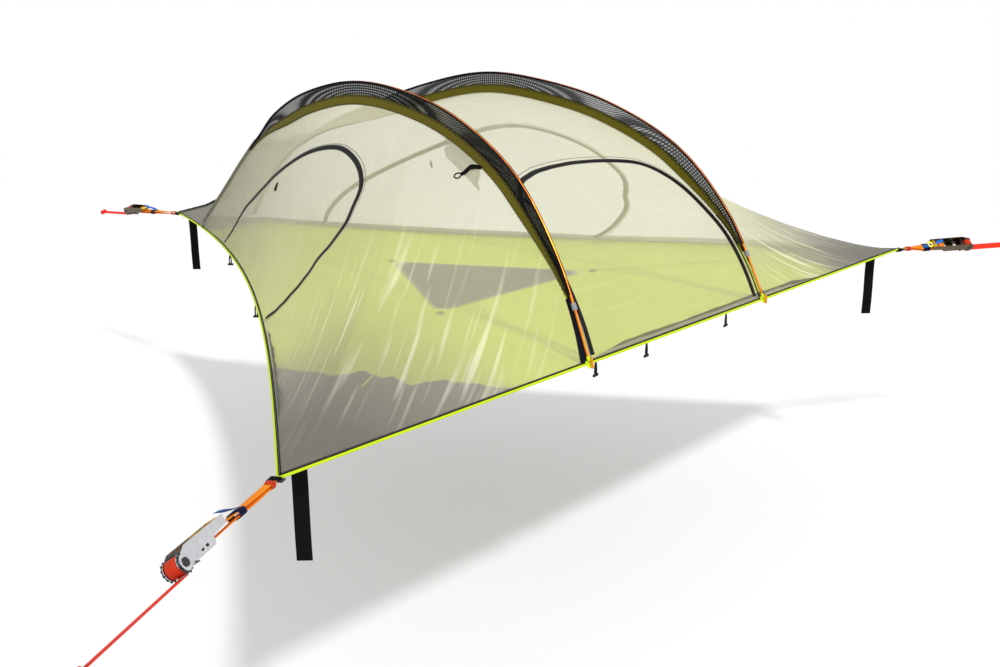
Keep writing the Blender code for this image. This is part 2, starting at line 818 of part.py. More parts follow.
def hatch_outline(grow):
    """Rounded triangle of the floor hatch, grown by a gap."""
    reach = HATCH_SIDE / math.sqrt(3) + 2 * grow
    points = []
    for number in range(3):
        away = math.pi / 2 + 2 * math.pi * number / 3
        centre_reach = reach - 2 * HATCH_ROUND
        centre = (centre_reach * math.cos(away), HATCH_CENTRE_Y + centre_reach * math.sin(away))
        points += arc(centre, HATCH_ROUND, away - math.pi / 3, away + math.pi / 3, 4)
    return points


def build_floor():
    """Floor, its three corner panels and the hatch."""
    edge = rounded(inset(RING, HEM_RADIUS + 2 * SEAT_GAP))
    half = FLOOR_THICKNESS / 2
    for name, tip in TIPS.items():
        corner, _ = corner_cut(edge, tip, CORNER_REACHES[name] - 2 * SEAT_GAP)
        _, edge = corner_cut(edge, tip, CORNER_REACHES[name])
        part = "floor_corner_" + name
        add_part(part, outline_curve(part, [corner], half), GREY_CLOTH, 0.8)
    data = outline_curve("floor_panel", [edge, hatch_outline(HATCH_GAP)], half)
    add_part("floor_panel", data, LIME_FLOOR, 0.7)
    low = HATCH_CENTRE_Y - HATCH_SIDE / math.sqrt(3) / 2
    outline = [(x, y - low) for x, y in hatch_outline(0)]
    data = outline_mesh("floor_hatch", [outline], half, Matrix.Translation((0, 0, -half)))
    add_part("floor_hatch", data, GREY_CLOTH, 0.8, 0.0, Matrix.Translation((0, low, half)))


# Small pieces of the hem and the doors

def surface_frame(rows, row, column):
    """Point, downhill direction and outward direction on a panel's rows."""
    point = (rows[row][column] + rows[row][column + 1]) / 2
    along = rows[row + 1][column] - rows[row - 1][column]
    across = rows[row][column + 1] - rows[row][column]
    outward = along.cross(across).normalized()
    if outward.z < 0:
        outward = -outward
    down = (Vector((0, 0, -1)) + outward * outward.z).normalized()
    return point, down, outward


def pull_piece(name, point, down, outward):
    """Zip pull that lies on a door, hinged at its upper end."""
    across = outward.cross(down).normalized()
    place = Matrix((across, down, outward)).transposed().to_4x4()
    lift = outward * (FABRIC_THICKNESS / 2 + PULL_THICKNESS / 2 + PULL_CLEAR)
    place = Matrix.Translation(point + lift) @ place
    half = PULL_WIDTH / 2
    neck, low = PULL_LENGTH / 2, PULL_LENGTH * 2 / 3
    outline = [(-half / 2, 0), (half / 2, 0), (half / 2, neck), (half, low), (half, PULL_LENGTH),
               (-half, PULL_LENGTH), (-half, low), (-half / 2, neck)]
    add_part(name, outline_curve(name, [outline], PULL_THICKNESS / 2), BLACK, 0.5, 0.0, place)


def build_pulls():
    """One zip pull on each door."""
    left = side_rows()
    point, down, outward = surface_frame(left, PULL_SIDE_STEP, PULL_SIDE_COLUMN)
    pull_piece("left_door_pull", point, down, outward)
    pull_piece("right_door_pull", MIRROR @ point, MIRROR @ down, MIRROR @ outward)
    point, down, outward = surface_frame(roof_rows(), PULL_FRONT_STEP, PULL_FRONT_COLUMN)
    pull_piece("front_door_pull", point, down, outward)


def hang_matrix(point, turn):
    """Frame that hangs from a point: X across, Y downwards, turned about the plumb line."""
    drop = Matrix(((1, 0, 0), (0, 0, 1), (0, -1, 0))).to_4x4()
    return Matrix.Translation(point) @ Matrix.Rotation(turn, 4, "Z") @ drop


def build_toggles():
    """Elastic toggles that hang from the hem."""
    neck, bar = TOGGLE_NECK / 2, TOGGLE_BAR / 2
    shoulder = TOGGLE_LENGTH - TOGGLE_BAR_HEIGHT
    outline = [(-neck, 0), (neck, 0), (neck, shoulder), (bar, shoulder), (bar, TOGGLE_LENGTH),
               (-bar, TOGGLE_LENGTH), (-bar, shoulder), (-neck, shoulder)]
    for name, (run, place) in TOGGLE_PLACES.items():
        point = side_hem(place) if run == "side" else front_hem(place)
        top = point - Vector((0, 0, HEM_RADIUS + TOGGLE_CLEAR))
        turn = math.atan2(DEPTH, FRONT_SIDE / 2) if run == "side" else 0
        data = outline_curve(name, [outline], TOGGLE_THICKNESS / 2)
        add_part(name, data, BLACK, 0.6, 0.0, hang_matrix(top, turn))


def outward_of(name):
    """Level direction from the middle of the tent out through a tip."""
    return TIPS[name].normalized()


def hanging_line(top):
    """Middle line of a hanging strap, with a slight wave."""
    points = []
    for step in range(SMALL_SEGMENTS + 1):
        share = step / SMALL_SEGMENTS
        points.append(top + Vector((HANGING_WAVE * math.sin(2 * math.pi * share), -HANGING_LENGTH * share)))
    return points


def build_hanging_straps():
    """Flat webbing ends that hang under each corner."""
    for name in TIPS:
        out = outward_of(name)
        top = TIPS[name] - out * HANGING_INBOARD - Vector((0, 0, FLOOR_THICKNESS / 2 + SEAT_GAP))
        line = hanging_line(Vector((0, 0)))
        half = WEBBING_THICKNESS / 2
        outline = [(x + half, z) for x, z in line] + [(x - half, z) for x, z in reversed(line)]
        part = "hanging_strap_" + name
        data = outline_curve(part, [outline], WEBBING_WIDTH / 2)
        place = Matrix.Translation(top) @ Matrix.Rotation(HANGING_TURN, 4, "Z") @ SIDEWAYS
        add_part(part, data, BLACK, 0.8, 0.0, place)


# Corner rings, slings, ratchets and tree straps

def strap_line(name):
    """Frame at a tip: X along the tree strap's line away from the tent, Z up."""
    out = outward_of(name)
    turn = Matrix.Rotation(math.atan2(out.y, out.x), 4, "Z")
    return Matrix.Translation(TIPS[name]) @ turn @ Matrix.Rotation(-STRAP_SLOPES[name], 4, "Y")


def strap_frame(name, reach):
    """Frame on a tree strap's line, rolled about it as the ratchet is."""
    return strap_line(name) @ Matrix.Translation((reach, 0, 0)) @ Matrix.Rotation(STRAP_ROLLS[name], 4, "X")


RING_HALF_HOLE = STRAP_WIDTH / 2 + RING_SIDE_CLEAR


def ring_start(name):
    """Where a corner ring starts, just outside the rounded tip of the hem."""
    out = outward_of(name)
    return max((point - TIPS[name]).dot(out) for point in rounded(RING)) + HEM_RADIUS + 2 * SEAT_GAP


def ring_bar_middle(name):
    """Middle of a corner ring's outer bar along the strap."""
    return ring_start(name) + RING_BAR + RING_EYE + RING_BAR / 2


def build_ring(name):
    """Flat corner ring that joins a tip to its sling."""
    start = ring_start(name)
    outer = RING_HALF_HOLE + RING_BAR
    end = ring_bar_middle(name) + RING_BAR / 2
    rim = [(start, -outer), (end, -outer), (end, outer), (start, outer)]
    hole = [(start + RING_BAR, -RING_HALF_HOLE), (end - RING_BAR, -RING_HALF_HOLE),
            (end - RING_BAR, RING_HALF_HOLE), (start + RING_BAR, RING_HALF_HOLE)]
    part = "corner_ring_" + name
    data = outline_curve(part, [rim, hole], RING_THICKNESS / 2)
    add_part(part, data, BLACK, 0.5, 0.3, strap_line(name))


def sling_side(start, end, low, high):
    """Long loop about two bars, in the plane along the strap and up, with even stations between them."""
    far = [Vector(place) for place in arc((end, 0), high, -math.pi / 2, math.pi / 2, SMALL_SEGMENTS)]
    near = [Vector(place) for place in arc((start, 0), low, math.pi / 2, 3 * math.pi / 2, SMALL_SEGMENTS)]
    places = []
    for one, other in ((far, near), (near, far)):
        run = [one[-1].lerp(other[0], step / SLING_STEPS) for step in range(SLING_STEPS)]
        places += one[:-1] + run
    return places


def build_sling(name):
    """Sewn loop of webbing from the corner ring to the tail bar, gathered at the ring, then turned."""
    end = SPOOL_REACHES[name] - FRAME_LENGTH
    inner = TAIL_BAR_RADIUS + SEAT_GAP
    small = math.hypot(RING_BAR, RING_THICKNESS) / 2 + SEAT_GAP
    start = ring_bar_middle(name)
    outside = sling_side(start, end, small + WEBBING_THICKNESS, inner + WEBBING_THICKNESS)
    inside = sling_side(start, end, small, inner)
    turned = SPOOL_REACHES[name] - HANDLE_LENGTH - SLING_HANDLE_CLEAR
    work = bmesh.new()
    rings = []
    for out, within in zip(outside, inside):
        share = ramp(out.x, start + SLING_RING_HOLD, turned)
        turn = Matrix.Rotation(STRAP_ROLLS[name] * share, 3, "X")
        half = STRAP_WIDTH / 2 * (SLING_GATHER_SHARE + (1 - SLING_GATHER_SHARE) * share)
        corners = ((out, half), (out, -half), (within, -half), (within, half))
        rings.append([work.verts.new(turn @ Vector((place.x, side, place.y))) for place, side in corners])
    for index, ring in enumerate(rings):
        before = rings[index - 1]
        for corner in range(len(ring)):
            work.faces.new((before[corner - 1], before[corner], ring[corner], ring[corner - 1]))
    bmesh.ops.recalc_face_normals(work, faces=work.faces)
    part = "sling_" + name
    add_part(part, mesh_from(part, work), RED_ORANGE, 0.8, 0.0, strap_line(name))


def plate_mesh(name, outline, inner, side):
    """Side plate of the ratchet on one side."""
    middle = side * (inner + PLATE / 2)
    return outline_mesh(name, [outline], PLATE / 2, Matrix.Translation((0, middle, 0)) @ SIDEWAYS)


def across(middle):
    """Cylinder placement across the strap at the spool."""
    return Matrix.Translation(middle) @ SIDEWAYS


def build_frame(name, place):
    """Ratchet frame: two plates, a base plate and the tail bar, cut for the shaft and the lock pawl."""
    top_angle = math.pi - math.asin(FRAME_TOP / FRAME_NOSE)
    nose = arc((0, 0), FRAME_NOSE, -math.pi / 2, top_angle, SMALL_SEGMENTS)
    tail = FRAME_LENGTH + TAIL_HALF_HEIGHT
    outline = nose + [
        (-BASE_START / 2, FRAME_TOP), (-tail, TAIL_HALF_HEIGHT / 2), (-tail, -TAIL_HALF_HEIGHT),
        (-FRAME_LENGTH, -FRAME_BOTTOM), (-FRAME_NOSE, -FRAME_BOTTOM),
    ]
    part = "ratchet_frame_" + name
    frame = add_part(part, plate_mesh(part, outline, FRAME_INNER, 1), CHROME, 0.25, 1.0, place)
    joined(frame, part + "_plate", plate_mesh(part + "_plate", outline, FRAME_INNER, -1))
    base_size = (BASE_LENGTH, 2 * FRAME_INNER + PLATE, PLATE)
    base_place = Matrix.Translation((-BASE_START - BASE_LENGTH / 2, 0, -FRAME_BOTTOM + PLATE))
    joined(frame, part + "_base", box_mesh(part + "_base", base_size, base_place))
    bar = cylinder_mesh(part + "_bar", TAIL_BAR_RADIUS, 2 * FRAME_INNER + PLATE, SMALL_SEGMENTS,
                        across((-FRAME_LENGTH, 0, 0)))
    joined(frame, part + "_bar", bar)
    bore_length = 2 * (FRAME_OUTER + OVERRUN)
    bore = cylinder_mesh(part + "_bore", BORE_RADIUS, bore_length, ROUND_SEGMENTS, across((0, 0, 0)))
    cut(frame, part + "_bore", bore)
    slot_length = PAWL_LENGTH + PAWL_TRAVEL + 2 * SLOT_CLEAR
    slot_size = (slot_length, 2 * (FRAME_OUTER + OVERRUN), PAWL_THICKNESS + 2 * SLOT_CLEAR)
    slot_place = pawl_place(LOCK_PAWL_TILT, WHEEL_RADIUS + PAWL_GAP - SLOT_CLEAR + slot_length / 2)
    cut(frame, part + "_slot", box_mesh(part + "_slot", slot_size, slot_place))
    smooth(frame)


def build_spool(name, place):
    """Spool: shaft, two toothed wheels and end caps."""
    part = "ratchet_spool_" + name
    shaft_length = 2 * CAP_OUTER - CAP_THICKNESS
    shaft = cylinder_mesh(part, SHAFT_RADIUS, shaft_length, ROUND_SEGMENTS, across((0, 0, 0)))
    spool = add_part(part, shaft, CHROME, 0.3, 1.0, place)
    for side, word in ((1, "near"), (-1, "far")):
        work = bmesh.new()
        middle = side * (WHEEL_INNER + WHEEL_OUTER) / 2
        bmesh.ops.create_cone(work, cap_ends=True, segments=2 * WHEEL_TEETH, depth=WHEEL_THICKNESS,
                              radius1=WHEEL_RADIUS, radius2=WHEEL_RADIUS, matrix=across((0, middle, 0)))
        for vertex in work.verts:
            turn = math.atan2(vertex.co.z, vertex.co.x) / (math.pi / WHEEL_TEETH)
            if round(turn) % 2:
                shrink = (WHEEL_RADIUS - WHEEL_TOOTH) / WHEEL_RADIUS
                vertex.co.x *= shrink
                vertex.co.z *= shrink
        joined(spool, part + "_wheel_" + word, mesh_from(part + "_wheel_" + word, work))
        cap_name = part + "_cap_" + word
        cap_place = across((0, side * (CAP_INNER + CAP_OUTER) / 2, 0))
        cap = cylinder_mesh(cap_name, CAP_RADIUS, CAP_THICKNESS, ROUND_SEGMENTS, cap_place)
        joined(spool, cap_name, cap)
    smooth(spool)


def build_handle(name, place):
    """Ratchet handle: two plates that carry the drive pawl and a grip at the end."""
    nose = arc((0, 0), HANDLE_NOSE, -math.pi / 2, math.pi / 2, SMALL_SEGMENTS)
    outline = nose + [
        (-HANDLE_SHOULDER_REACH / 2, HANDLE_SHOULDER), (-HANDLE_SHOULDER_REACH, HANDLE_SHOULDER),
        (-HANDLE_LENGTH, GRIP_HEIGHT + HANDLE_END_HALF), (-HANDLE_LENGTH, GRIP_HEIGHT - HANDLE_END_HALF),
        (-HANDLE_SHOULDER_REACH, -HANDLE_BOTTOM),
    ]
    part = "ratchet_handle_" + name
    handle = add_part(part, plate_mesh(part, outline, HANDLE_INNER, 1), GOLD, 0.35, 0.6, place)
    joined(handle, part + "_plate", plate_mesh(part + "_plate", outline, HANDLE_INNER, -1))
    grip_place = (-HANDLE_LENGTH + GRIP_SETBACK, 0, GRIP_HEIGHT)
    grip_length = 2 * HANDLE_INNER + PLATE
    grip = cylinder_mesh(part + "_grip", GRIP_RADIUS, grip_length, SMALL_SEGMENTS, across(grip_place))
    joined(handle, part + "_grip", grip)
    bore_length = 2 * (HANDLE_OUTER + OVERRUN)
    bore = cylinder_mesh(part + "_bore", BORE_RADIUS, bore_length, ROUND_SEGMENTS, across((0, 0, 0)))
    cut(handle, part + "_bore", bore)
    smooth(handle)


def pawl_place(tilt, reach):
    """Placement of a pawl's middle on a line from the spool towards the tent, tilted up."""
    return Matrix.Rotation(tilt, 4, "Y") @ Matrix.Translation((-reach, 0, 0))


def build_pawl(part, tilt, half_width, place):
    """Flat pawl plate with its edge at the wheels' teeth."""
    reach = WHEEL_RADIUS + PAWL_GAP + PAWL_LENGTH / 2
    size = (PAWL_LENGTH, 2 * half_width, PAWL_THICKNESS)
    data = box_mesh(part, size, Matrix.Identity(4))
    add_part(part, data, CHROME, 0.35, 1.0, place @ pawl_place(tilt, reach))


def roll_point(turn):
    """Point of the wound webbing's middle line at a number of turns, in the plane along and up."""
    reach = ROLL_INNER + ROLL_PITCH * turn
    angle = 2 * math.pi * (turn - ROLL_END_SHARE)
    return Vector((reach * math.cos(angle), reach * math.sin(angle)))


def build_roll(name, place):
    """Webbing wound on the spool, as one unbroken flat spiral."""
    steps = ROLL_TURNS * ROLL_TURN_POINTS
    inner, outer = [], []
    for step in range(steps + 1):
        middle = roll_point(step / ROLL_TURN_POINTS)
        away = middle.normalized() * WEBBING_THICKNESS / 2
        inner.append(middle - away)
        outer.append(middle + away)
    part = "webbing_roll_" + name
    data = outline_curve(part, [outer + list(reversed(inner))], STRAP_WIDTH / 2)
    add_part(part, data, RED_ORANGE, 0.8, 0.0, place @ SIDEWAYS)


def roll_gap():
    """Least gap between one turn of the wound webbing and the next, measured on its points."""
    steps = ROLL_TURNS * ROLL_TURN_POINTS
    points = [roll_point(step / ROLL_TURN_POINTS) for step in range(steps + 1)]
    least = min((points[step + ROLL_TURN_POINTS + near] - points[step]).length
                for step in range(steps - ROLL_TURN_POINTS) for near in (-1, 0, 1)
                if step + ROLL_TURN_POINTS + near <= steps)
    chord_dip = ROLL_OUTER * (1 - math.cos(math.pi / ROLL_TURN_POINTS))
    return least - WEBBING_THICKNESS - chord_dip


def strap_end_outline(length):
    """Side outline of a tree strap with a sewn eye at its end."""
    half = WEBBING_THICKNESS / 2
    centre = length - STRAP_EYE_RADIUS
    wall = STRAP_EYE_RADIUS - WEBBING_THICKNESS
    open_angle = math.pi - math.asin(half / STRAP_EYE_RADIUS)
    rim = [(0, half), (0, -half)]
    rim += arc((centre, 0), STRAP_EYE_RADIUS, -open_angle, open_angle, ROUND_SEGMENTS)
    hole = arc((centre, 0), wall, 0, 2 * math.pi * (1 - 1 / SMALL_SEGMENTS), SMALL_SEGMENTS - 1)
    return [rim, hole]


def build_strap(name, place):
    """Taut tree strap that leaves the under side of the wound webbing."""
    length = STRAP_REACHES[name] - SPOOL_REACHES[name]
    drop = ROLL_OUTER + PAWL_GAP + WEBBING_THICKNESS / 2
    part = "tree_strap_" + name
    data = outline_curve(part, strap_end_outline(length), STRAP_WIDTH / 2)
    add_part(part, data, RED_ORANGE, 0.8, 0.0, place @ Matrix.Translation((0, 0, -drop)) @ SIDEWAYS)


def build_corners():
    """Ring, sling, ratchet and tree strap at each of the three corners."""
    for name in TIPS:
        place = strap_frame(name, SPOOL_REACHES[name])
        build_ring(name)
        build_sling(name)
        build_frame(name, place)
        build_spool(name, place)
        build_handle(name, place)
        build_pawl("drive_pawl_" + name, DRIVE_PAWL_TILT, HANDLE_INNER - SEAT_GAP, place)
        build_pawl("lock_pawl_" + name, LOCK_PAWL_TILT, HANDLE_INNER - SEAT_GAP, place)
        build_roll(name, place)
        build_strap(name, place)


build_hem()
build_floor()
build_poles()
build_sleeves()
build_collars()
build_canopy()
build_pulls()
build_toggles()
build_hanging_straps()
build_corners()
print(f"least gap in the wound webbing: {roll_gap() * 1000:.2f} mm")
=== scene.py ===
"""Looks of the three-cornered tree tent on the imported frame: cloth, webbing, ratchets, light and camera.

Every length is in metres, in the frame's own coordinates. The hem lies in the plane z = 0.
"""

import logging
import math
from dataclasses import dataclass, field
from enum import Enum
from typing import Callable, Dict, List, Optional, Sequence, Tuple, Union

import bmesh
import bpy
from mathutils import Matrix, Vector
from mathutils.bvhtree import BVHTree


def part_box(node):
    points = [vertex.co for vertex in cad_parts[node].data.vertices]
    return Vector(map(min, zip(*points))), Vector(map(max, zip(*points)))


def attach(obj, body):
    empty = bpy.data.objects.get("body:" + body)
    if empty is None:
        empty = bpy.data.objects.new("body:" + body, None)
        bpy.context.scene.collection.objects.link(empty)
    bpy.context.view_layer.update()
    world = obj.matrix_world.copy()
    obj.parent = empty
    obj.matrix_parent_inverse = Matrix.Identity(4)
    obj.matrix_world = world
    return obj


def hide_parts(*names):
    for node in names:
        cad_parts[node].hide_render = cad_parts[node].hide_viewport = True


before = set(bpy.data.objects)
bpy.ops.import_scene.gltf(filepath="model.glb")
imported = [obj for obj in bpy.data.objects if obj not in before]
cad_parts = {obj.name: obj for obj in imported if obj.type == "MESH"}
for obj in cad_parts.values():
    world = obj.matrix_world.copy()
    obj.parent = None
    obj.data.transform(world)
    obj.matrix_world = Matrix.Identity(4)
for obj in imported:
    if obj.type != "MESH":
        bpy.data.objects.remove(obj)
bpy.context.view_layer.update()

logging.basicConfig(level=logging.INFO, format="%(message)s")
LOG = logging.getLogger("tent")

Points = List[Vector]
Rows = List[Points]
Pair = Tuple[float, float]
Directions = Union[Vector, Points]
Sheet = Tuple[str, List[str], float]

# Shape values shared with the CAD
FRONT_SIDE = 4.10
DEPTH = 3.97
SIDE_BOW = 0.195
SIDE_BOW_SKEW_SHARE = 0.59
FRONT_Y = -DEPTH / 3
TAIL_Y = FRONT_Y + DEPTH
HEM_RADIUS = 0.005
TIP_ROUND = 0.016
FOOT_HALF = 0.63
FOOT_GAP = 0.02
ARCH_RISE = 0.965
POLE_LIFT = 0.0048
POLE_RADIUS = 0.0045
REAR_LIFT = 0.045
REAR_FOOT_SHARE = 0.863
ARCH_SHARES = (
    (0.955, 0.045, 0.380), (0.885, 0.112, 0.685), (0.800, 0.205, 0.880), (0.725, 0.305, 0.977),
    (0.690, 0.400, 1.000), (0.640, 0.500, 0.925), (0.500, 0.595, 0.795), (0.325, 0.675, 0.645),
    (0.250, 0.745, 0.455), (0.245, 0.800, 0.255),
)
RIDGE_SHARES = (
    (0.600, 0.775), (0.675, 0.650), (0.745, 0.470), (0.800, 0.305), (0.850, 0.195), (0.907, 0.105),
    (1.0, 0.008),
)
STATIONS = 40
FRONT_STATIONS = 13
ROOF_LAST_STATION = 31
HOOD_FIRST_STATION = 30
HOOD_TIP_STEPS = 5
SLEEVE_HEIGHT = 0.10
SLEEVE_STANDOFF = 0.014
SLEEVE_START_SHARE = 3 / STATIONS
SLEEVE_END_SHARE = 31 / STATIONS
SLEEVE_RISE_SHARE = 0.10
EDGE_SHIFT = 0.0026
SLOPE_POWER = 1.5
ROOF_SAG = 0.045
ROOF_SAG_SHARES = (0.17, 0.50, 0.745)
HOOD_LAP = 0.02
HOOD_CLEAR = 0.009
SILL_HEIGHT = 0.020
FRONT_DOOR_HALF = FOOT_HALF - 0.045
FRONT_DOOR_HEIGHT = 0.623
FRONT_DOOR_ARC_SHARES = (
    (-1.000, 0.00), (-0.988, 0.22), (-0.975, 0.40), (-0.950, 0.59), (-0.905, 0.77), (-0.820, 0.88),
    (-0.690, 0.95), (-0.500, 0.98), (-0.250, 0.995), (0.000, 1.00), (0.250, 0.995), (0.500, 0.98),
    (0.690, 0.95), (0.820, 0.88), (0.905, 0.77), (0.950, 0.59), (0.975, 0.40), (0.988, 0.22), (1.000, 0.00),
)
SIDE_DOOR_SHARES = (0.34, 0.70)
SIDE_DOOR_HEIGHT = 0.683
SIDE_DOOR_ARC_SHARES = (
    (-0.830, 0.000), (-0.925, 0.070), (-1.000, 0.160), (-1.060, 0.260), (-1.085, 0.340), (-1.080, 0.420),
    (-1.095, 0.520), (-1.075, 0.620), (-1.010, 0.715), (-0.910, 0.825), (-0.780, 0.905), (-0.640, 0.960),
    (-0.490, 0.995), (-0.370, 1.000), (-0.220, 0.975), (-0.040, 0.915), (0.180, 0.815), (0.450, 0.680),
    (0.750, 0.510), (1.000, 0.340), (1.170, 0.160), (1.260, 0.000),
)
DOOR_GAP = 0.0014
HATCH_SIDE = 1.0
HATCH_CENTRE_Y = -0.077
HATCH_ROUND = 0.05
CORNER_REACHES = {"front_left": 1.05, "front_right": 0.75, "tail": 0.75}
WEBBING_WIDTH = 0.050
STRAP_WIDTH = 0.036
WEBBING_THICKNESS = 0.0022
HANGING_LENGTH = 0.35
HANGING_INBOARD = 0.165
HANGING_WAVE = 0.003
HANGING_TURN = math.radians(45)
SPOOL_REACHES = {"front_left": 0.62, "front_right": 0.43, "tail": 0.66}
STRAP_REACHES = {"front_left": 1.09, "front_right": 0.80, "tail": 1.07}
STRAP_SLOPES = {
    "front_left": math.radians(4.5), "front_right": math.radians(0.5), "tail": math.radians(-5.0),
}
STRAP_ROLLS = {
    "front_left": math.radians(35), "front_right": math.radians(38), "tail": math.radians(-15),
}
SLING_RING_HOLD = 0.020
SLING_HANDLE_CLEAR = 0.030
SLING_GATHER_SHARE = 0.60
FRAME_LENGTH = 0.150
TAIL_BAR_RADIUS = 0.005
HANDLE_LENGTH = 0.235
GRIP_RADIUS = 0.011
GRIP_SETBACK = 0.016
GRIP_HEIGHT = 0.0200
SHAFT_RADIUS = 0.009
ROLL_TURNS = 4
ROLL_PITCH = 0.0036
ROLL_INNER = SHAFT_RADIUS + 0.0004 + WEBBING_THICKNESS / 2
ROLL_OUTER = ROLL_INNER + ROLL_TURNS * ROLL_PITCH + WEBBING_THICKNESS / 2
STRAP_EYE_RADIUS = 0.014
RING_BAR = 0.006
RING_EYE = 0.018
RING_START = 0.0130
SLING_START = RING_START + RING_BAR + RING_EYE + RING_BAR / 2
GROUND = -1.19

TIPS = {
    "front_left": Vector((-FRONT_SIDE / 2, FRONT_Y, 0)),
    "front_right": Vector((FRONT_SIDE / 2, FRONT_Y, 0)),
    "tail": Vector((0, TAIL_Y, 0)),
}
MIRROR = Matrix.Scale(-1, 4, Vector((1, 0, 0)))
UP = Vector((0, 0, 1))
SIDEWAYS = Vector((0, 1, 0))

# Sizes of the finer pieces: a band has a width and a thickness, a unit a length, a width and a height
ZIP_TAPE = (0.025, 0.0012)
ZIP_PIPING = (0.004, 0.0016)
TOOTH = (0.002, 0.0055, 0.0014)
ZIP_STEPS = 150
ZIP_GROW = 0.001
PIPING_GROW = 0.016
ZIP_LIFT = 0.0012
TEETH_LIFT = 0.0021
TEETH_PITCH = 0.0045
OUTLINE_STEPS = 90
RAY_START = 1.2
FAR_OUTSIDE = 0.1
SIDE_CREASE = 0.0022
ROOF_CREASE = 0.0016
RIDGE_WEBBING = (0.032, 0.0036)
RIDGE_LIFT = 0.0026
RIDGE_FIRST_Y = 1.98
RIDGE_END = Vector((0, TAIL_Y - 0.012, 0.0095))
HEM_PIPING = (0.0038, 10, 1.25)
HEM_BINDING = (0.0085, 0.0016)
HEM_STITCH = (0.005, 0.0011, 0.0008)
HEM_STITCH_PITCH = 0.009
HEM_STITCH_LIFT = 0.001
BINDING_INSET = 0.0068
BINDING_LIFT = 0.0062
BINDING_LEAN = 0.35
SKIRT_STEPS = 120
SKIRT_INSET = Vector((0.014, -0.006, 0.006))
SKIRT_WAVES = ((0.5, 13, 0), (0.35, 29, 1), (0.25, 67, 0))
CORNER_WAVES = ((0.018, 39, 0), (0.008, 91, 0))
FLOOR_LIFT = -0.0006
CORNER_LIFT = 0.0011
HATCH_LIFT = -0.0004
HATCH_GAP = 0.001
HATCH_ZIP = (0.012, 0.0012)
HATCH_ZIP_LIFT = 0.0016
HATCH_ZIP_GROW = 0.006
HATCH_LOOPS = ((0.0, 0.47), (-0.47, -0.35), (0.47, -0.35))
HATCH_CORD = (0.0022, 8)
FLOOR_SEAM = (0.008, 0.001)
SEAM_LIFT = 0.0014
SEAM_STARTS = {"tail": (0, 0.52, 0), "front_left": (-0.53, -0.38, 0), "front_right": (0.53, -0.38, 0)}
FLOOR_INSET = 0.0044
FLOOR_EDGE = 0.16
FLOOR_WAVE = 0.0006
SLEEVE_SPLIT = 0.58
BAND_SHIFT = EDGE_SHIFT + 0.0022
FIN_SPAN = (0.056, 0.775)
BAND_SPAN = (0.056, 0.772)
STITCH_SPAN = (0.065, 0.768)
STITCH_LEAN = 0.7
SLEEVE_STITCH_LIFT = 0.0008
FIN_LAP = 0.002
BAND_LAP = 0.003
CHANNEL_SPAN = (0.062, 0.775)
CHANNEL_OUTER = POLE_RADIUS + 0.0019
CHANNEL_INNER = POLE_RADIUS + 0.0007
REAR_SPAN = (0.776, 0.998)
REAR_SLEEVE = (POLE_RADIUS + 0.0032, 12)
STRIP_SPAN = (0.001, 0.10)
FOOT_STRIP = (0.009, 0.0014)
POCKET_SPAN = (0.0, 0.007)
POCKET = (0.0085, 12, 0.8)
FOOT_TAB = (0.036, 0.0022)
HANGING_SINK = 0.0013
SLING_RING_LOOP = 0.0056
ROLL_CLEAR = 0.0004
BAR_CLEAR = 0.0003
TIE_SHARE = 0.60
TIE_LENGTH = 0.040
TIE_CLEAR = 0.003
TIE_DEEP = 0.0105
TIE_BAND = (0.020, 0.0014)
KNOT_REACHES = (0.014, 0.027)
KNOT_LENGTH = 0.011
KNOT_CLEAR = 0.004
KNOT_DEEP = 0.0100
WRAP_THICKNESS = 0.0016
TIP_FOLD = (
    (-0.020, -0.0092), (-0.008, -0.0092), (0.004, -0.0088), (0.012, -0.0068), (0.0175, -0.0045),
    (0.0215, -0.0020), (0.0222, 0.0), (0.0215, 0.0020), (0.0175, 0.0045), (0.012, 0.0068), (0.006, 0.0078),
)
TIP_FACINGS = (
    (0, -1), (0, -1), (0, -1), (0.5, -1), (0.8, -1), (1, -0.6), (1, 0), (1, 0.6), (0.8, 1), (0.5, 1), (0, 1),
)
TIP_BAND = (0.034, 0.0016)
STRAP_STITCH = (0.0028, 0.0009, 0.0008)
STRAP_STITCH_PITCH = 0.0036
GRIP_HALF = 0.0235
GRIP_SLEEVE = (GRIP_RADIUS + 0.0015, 20)
GRIP_WIDTHS = (0.93, 1.0, 1.03, *[1.04] * 7, 1.03, 1.0, 0.93)
GRIP_RIB = (2 * GRIP_HALF * 0.86, 0.0018, 0.0016)
RIB_REACH = GRIP_RADIUS + 0.0019
END_TAB = (0.009, 0.003)
PLATE_OUTER = STRAP_WIDTH / 2 + 0.0025 + 0.0025
RIVET_RADIUS = 0.0058
RIVET_FLAT = 0.6
RIVET_REACHES = (-0.118, -0.092, -0.058)
SIDE_TOGGLE_BAR = Vector((0.69, -0.72, 0))
TOGGLE_CORD = (0.0034, 8)
TOGGLE_BAR = (0.0060, 10)
TOGGLE_BAR_LIFT = 0.004
TOGGLE_WIDTHS = (0.6, 0.9, 1.0, 1.0, 0.85, 0.8, 0.85, 1.0, 1.0, 0.9, 0.6)
HOOK_BAND = (0.020, 0.0024)
HOOK = (0.003, 8)
PULL_TAB = (0.0065, 10, 0.8)
PULL_WIDTHS = (0.6, 0.8, 0.9, 1.0, 1.1, 1.15, 1.15, 1.0, 0.6)

# Where the shaders' masks sit, on the left side: the painted highlight along the creases and the painted
# shade by the front tips; and the colour that the ripples take
CREASE_HIGHLIGHT_SPOT = (1.18, -1.02, 0.25)
FRONT_CORNER_SHADE_SPOT = (2.05, -1.32, 0.0)
MOIRE_COLOUR = (196, 196, 192)
METAL_SHINE = 0.5


class Look(Enum):
    """Kinds of finish."""

    CLOTH = "cloth"
    MESH = "mesh"
    METAL = "metal"
    PLASTIC = "plastic"


